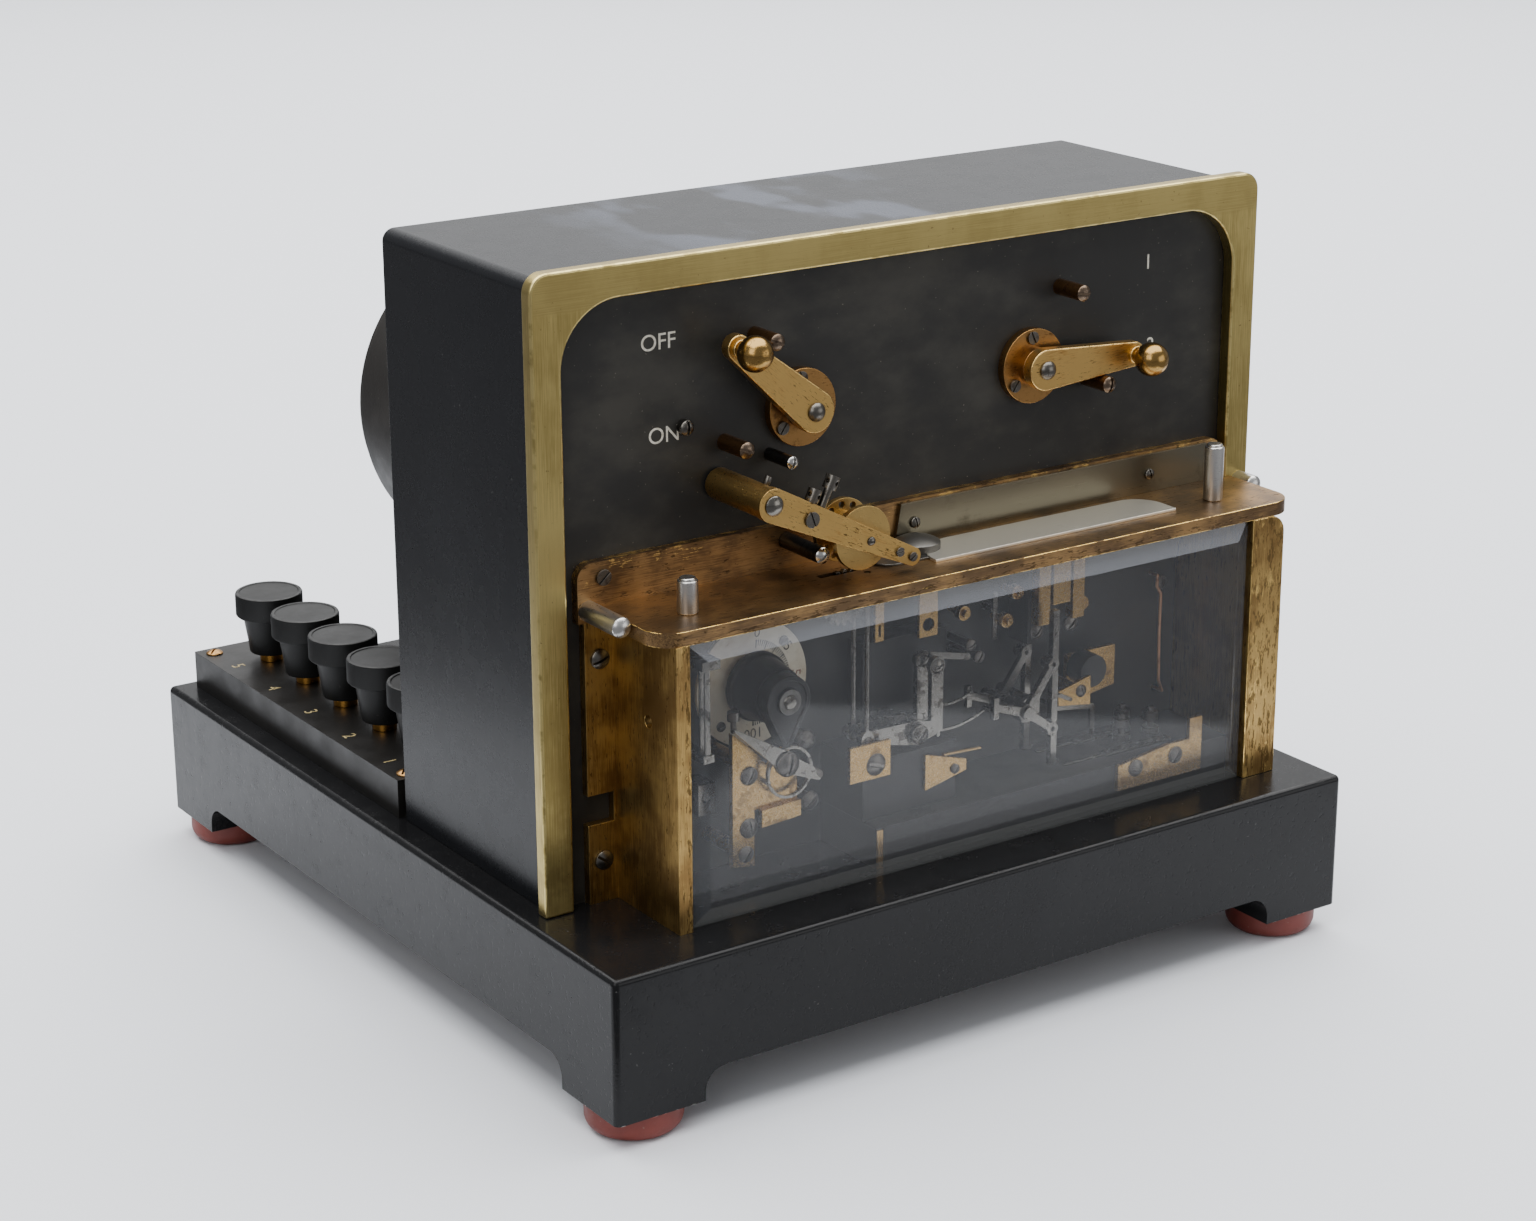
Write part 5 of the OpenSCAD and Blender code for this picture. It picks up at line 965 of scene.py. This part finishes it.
# %% Lettering
def lettering(name, words, height, finish, body, slot):
    """One piece from words, each with its place. height is that of a capital, in mm."""
    joined = bmesh.new()
    for word, place in words:
        text = bpy.data.curves.new("passing", "FONT")
        text.body, text.align_x, text.align_y = word, "CENTER", "CENTER"
        text.size, text.extrude = height / 0.7 * MM, 0.03 * MM
        written = bpy.data.objects.new("passing", text)
        shape = bpy.data.meshes.new_from_object(written)
        shape.transform(place)
        joined.from_mesh(shape)
        bpy.data.objects.remove(written)
        bpy.data.meshes.remove(shape)
    bmesh.ops.remove_doubles(joined, verts=joined.verts, dist=0.001 * MM)
    finished(name, joined, [finish], body, slot)


NUMERAL_CIRCLE = 16.2


def round_dial(turn):
    """The place of a numeral, upright on the circle, for its angle on the dial."""
    return upright(DIAL_X + NUMERAL_CIRCLE * cos(radians(turn)), DIAL_FACE,
                   DIAL_Z + NUMERAL_CIRCLE * sin(radians(turn)), turn - 90)


print("lettering ready")

# %% [markdown]
# The dial has plain numbers, with the middle one in faded red. The panel says ON and OFF beside
# the one switch, and has a plain 1 and 2 beside the other. The terminals are numbered.

# %% Words and numerals
lettering("speed_dial.numerals", [(word, round_dial(turn)) for word, turn in
                                  (("0", 83), ("25", 40), ("75", -46), ("100", -89))],
          3.3, dial_ink, dial_frame, "dial")
lettering("speed_dial.middle", [("50", round_dial(-3))], 3.3, red_ink, dial_frame, "dial")
ON_AT, OFF_AT = (-88.8, 54, 141.6), (-90.4, 54, 169.9)
ONE_AT, TWO_AT = (96.7, 54, 170.4), (98.8, 54, 142.6)
lettering("front_panel.words", [("ON", upright(*ON_AT)), ("OFF", upright(*OFF_AT)),
                                ("1", upright(*ONE_AT)), ("2", upright(*TWO_AT))],
          4.9, letter_fill, frame["nodes"]["front_panel"]["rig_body"], "panel_black")
lettering("terminal_block.numerals",
          [(str(number), Matrix.Translation(at(-128, FIRST_KNOB + KNOB_PITCH * (number - 1),
                                               STRIP_TOP))
            @ Matrix.Rotation(radians(-90), 4, "Z")) for number in range(1, 6)],
          4.6, gold_fill, frame["nodes"]["terminal_block"]["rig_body"], "ebonite")
print("words and numerals")

# %% [markdown]
# The photograph's floor is nearly white, yet the faces that look away from it stay very dark.
# So the object stands on a sheet of paper that hardly reaches past the picture, on a darker
# table. Both are laid out from the camera: ahead along its line of sight, and to its sides.

# %% Paper and table
EYE = Vector((camera.location.x, camera.location.y, 0))
AHEAD, ASIDE = Vector((0.572, 0.82, 0)), Vector((0.82, -0.572, 0))


def sheet_on_floor(name, colour, near, far, near_half, far_half, drop=0.0):
    """A flat sheet that widens away from the camera, all in metres along the line of sight."""
    flat = bmesh.new()
    bmesh.ops.create_grid(flat, x_segments=1, y_segments=1, size=1)
    for point in flat.verts:
        depth, half = (near, near_half) if point.co.y < 0 else (far, far_half)
        point.co = EYE + AHEAD * depth + ASIDE * half * point.co.x - Vector((0, 0, drop))
    mesh = bpy.data.meshes.new(name)
    flat.to_mesh(mesh)
    flat.free()
    laid = bpy.data.objects.new(name, mesh)
    bpy.context.scene.collection.objects.link(laid)
    surface = Finish(name + "_surface", Base_Color=(*colour, 1), Roughness=0.9)
    mesh.materials.append(surface.material)


sheet_on_floor("paper", (0.79, 0.81, 0.85), 0.79, 6.5, 0.30, 1.6)
sheet_on_floor("table", (0.10, 0.10, 0.105), -5, 9, 7, 7, 0.004)
print("paper and table laid")

# %% [markdown]
# The room itself is dim, so that the black sides of the object stay black. A wide soft box
# above lights the paper, and a low one behind the object gives its upper faces their sheen. Two
# small ones in front draw the soft highlights on the plinth, the panel and the brass.

# %% Room and soft boxes
room = bpy.data.worlds.new("dim_room")
room.use_nodes = True
room.node_tree.nodes["Background"].inputs["Color"].default_value = (0.88, 0.90, 0.94, 1)
room.node_tree.nodes["Background"].inputs["Strength"].default_value = 0.38
bpy.context.scene.world = room


def soft_box(name, where, aim, width, height, power):
    """A rectangular area light that faces a point."""
    light = bpy.data.lights.new(name, "AREA")
    light.shape, light.size, light.size_y, light.energy = "RECTANGLE", width, height, power
    box = bpy.data.objects.new(name, light)
    box.location = where
    box.rotation_euler = (Vector(aim) - Vector(where)).to_track_quat("-Z", "Y").to_euler()
    bpy.context.scene.collection.objects.link(box)
    box.visible_camera = False


soft_box("overhead", (0.5, 0.7, 2.2), (0.5, 0.7, 0), 4, 4, 230)
soft_box("behind", (1.25, 1.8, 0.95), (0, 0, 0.15), 2.4, 1.2, 7)
soft_box("left_front", (-1.5, -1.0, 1.1), (0, 0, 0.1), 1.1, 1.1, 9.4)
soft_box("low_front", (0.8, -1.25, 0.42), (0, -0.1, 0.12), 1.1, 0.7, 3.4)
print("lights set")
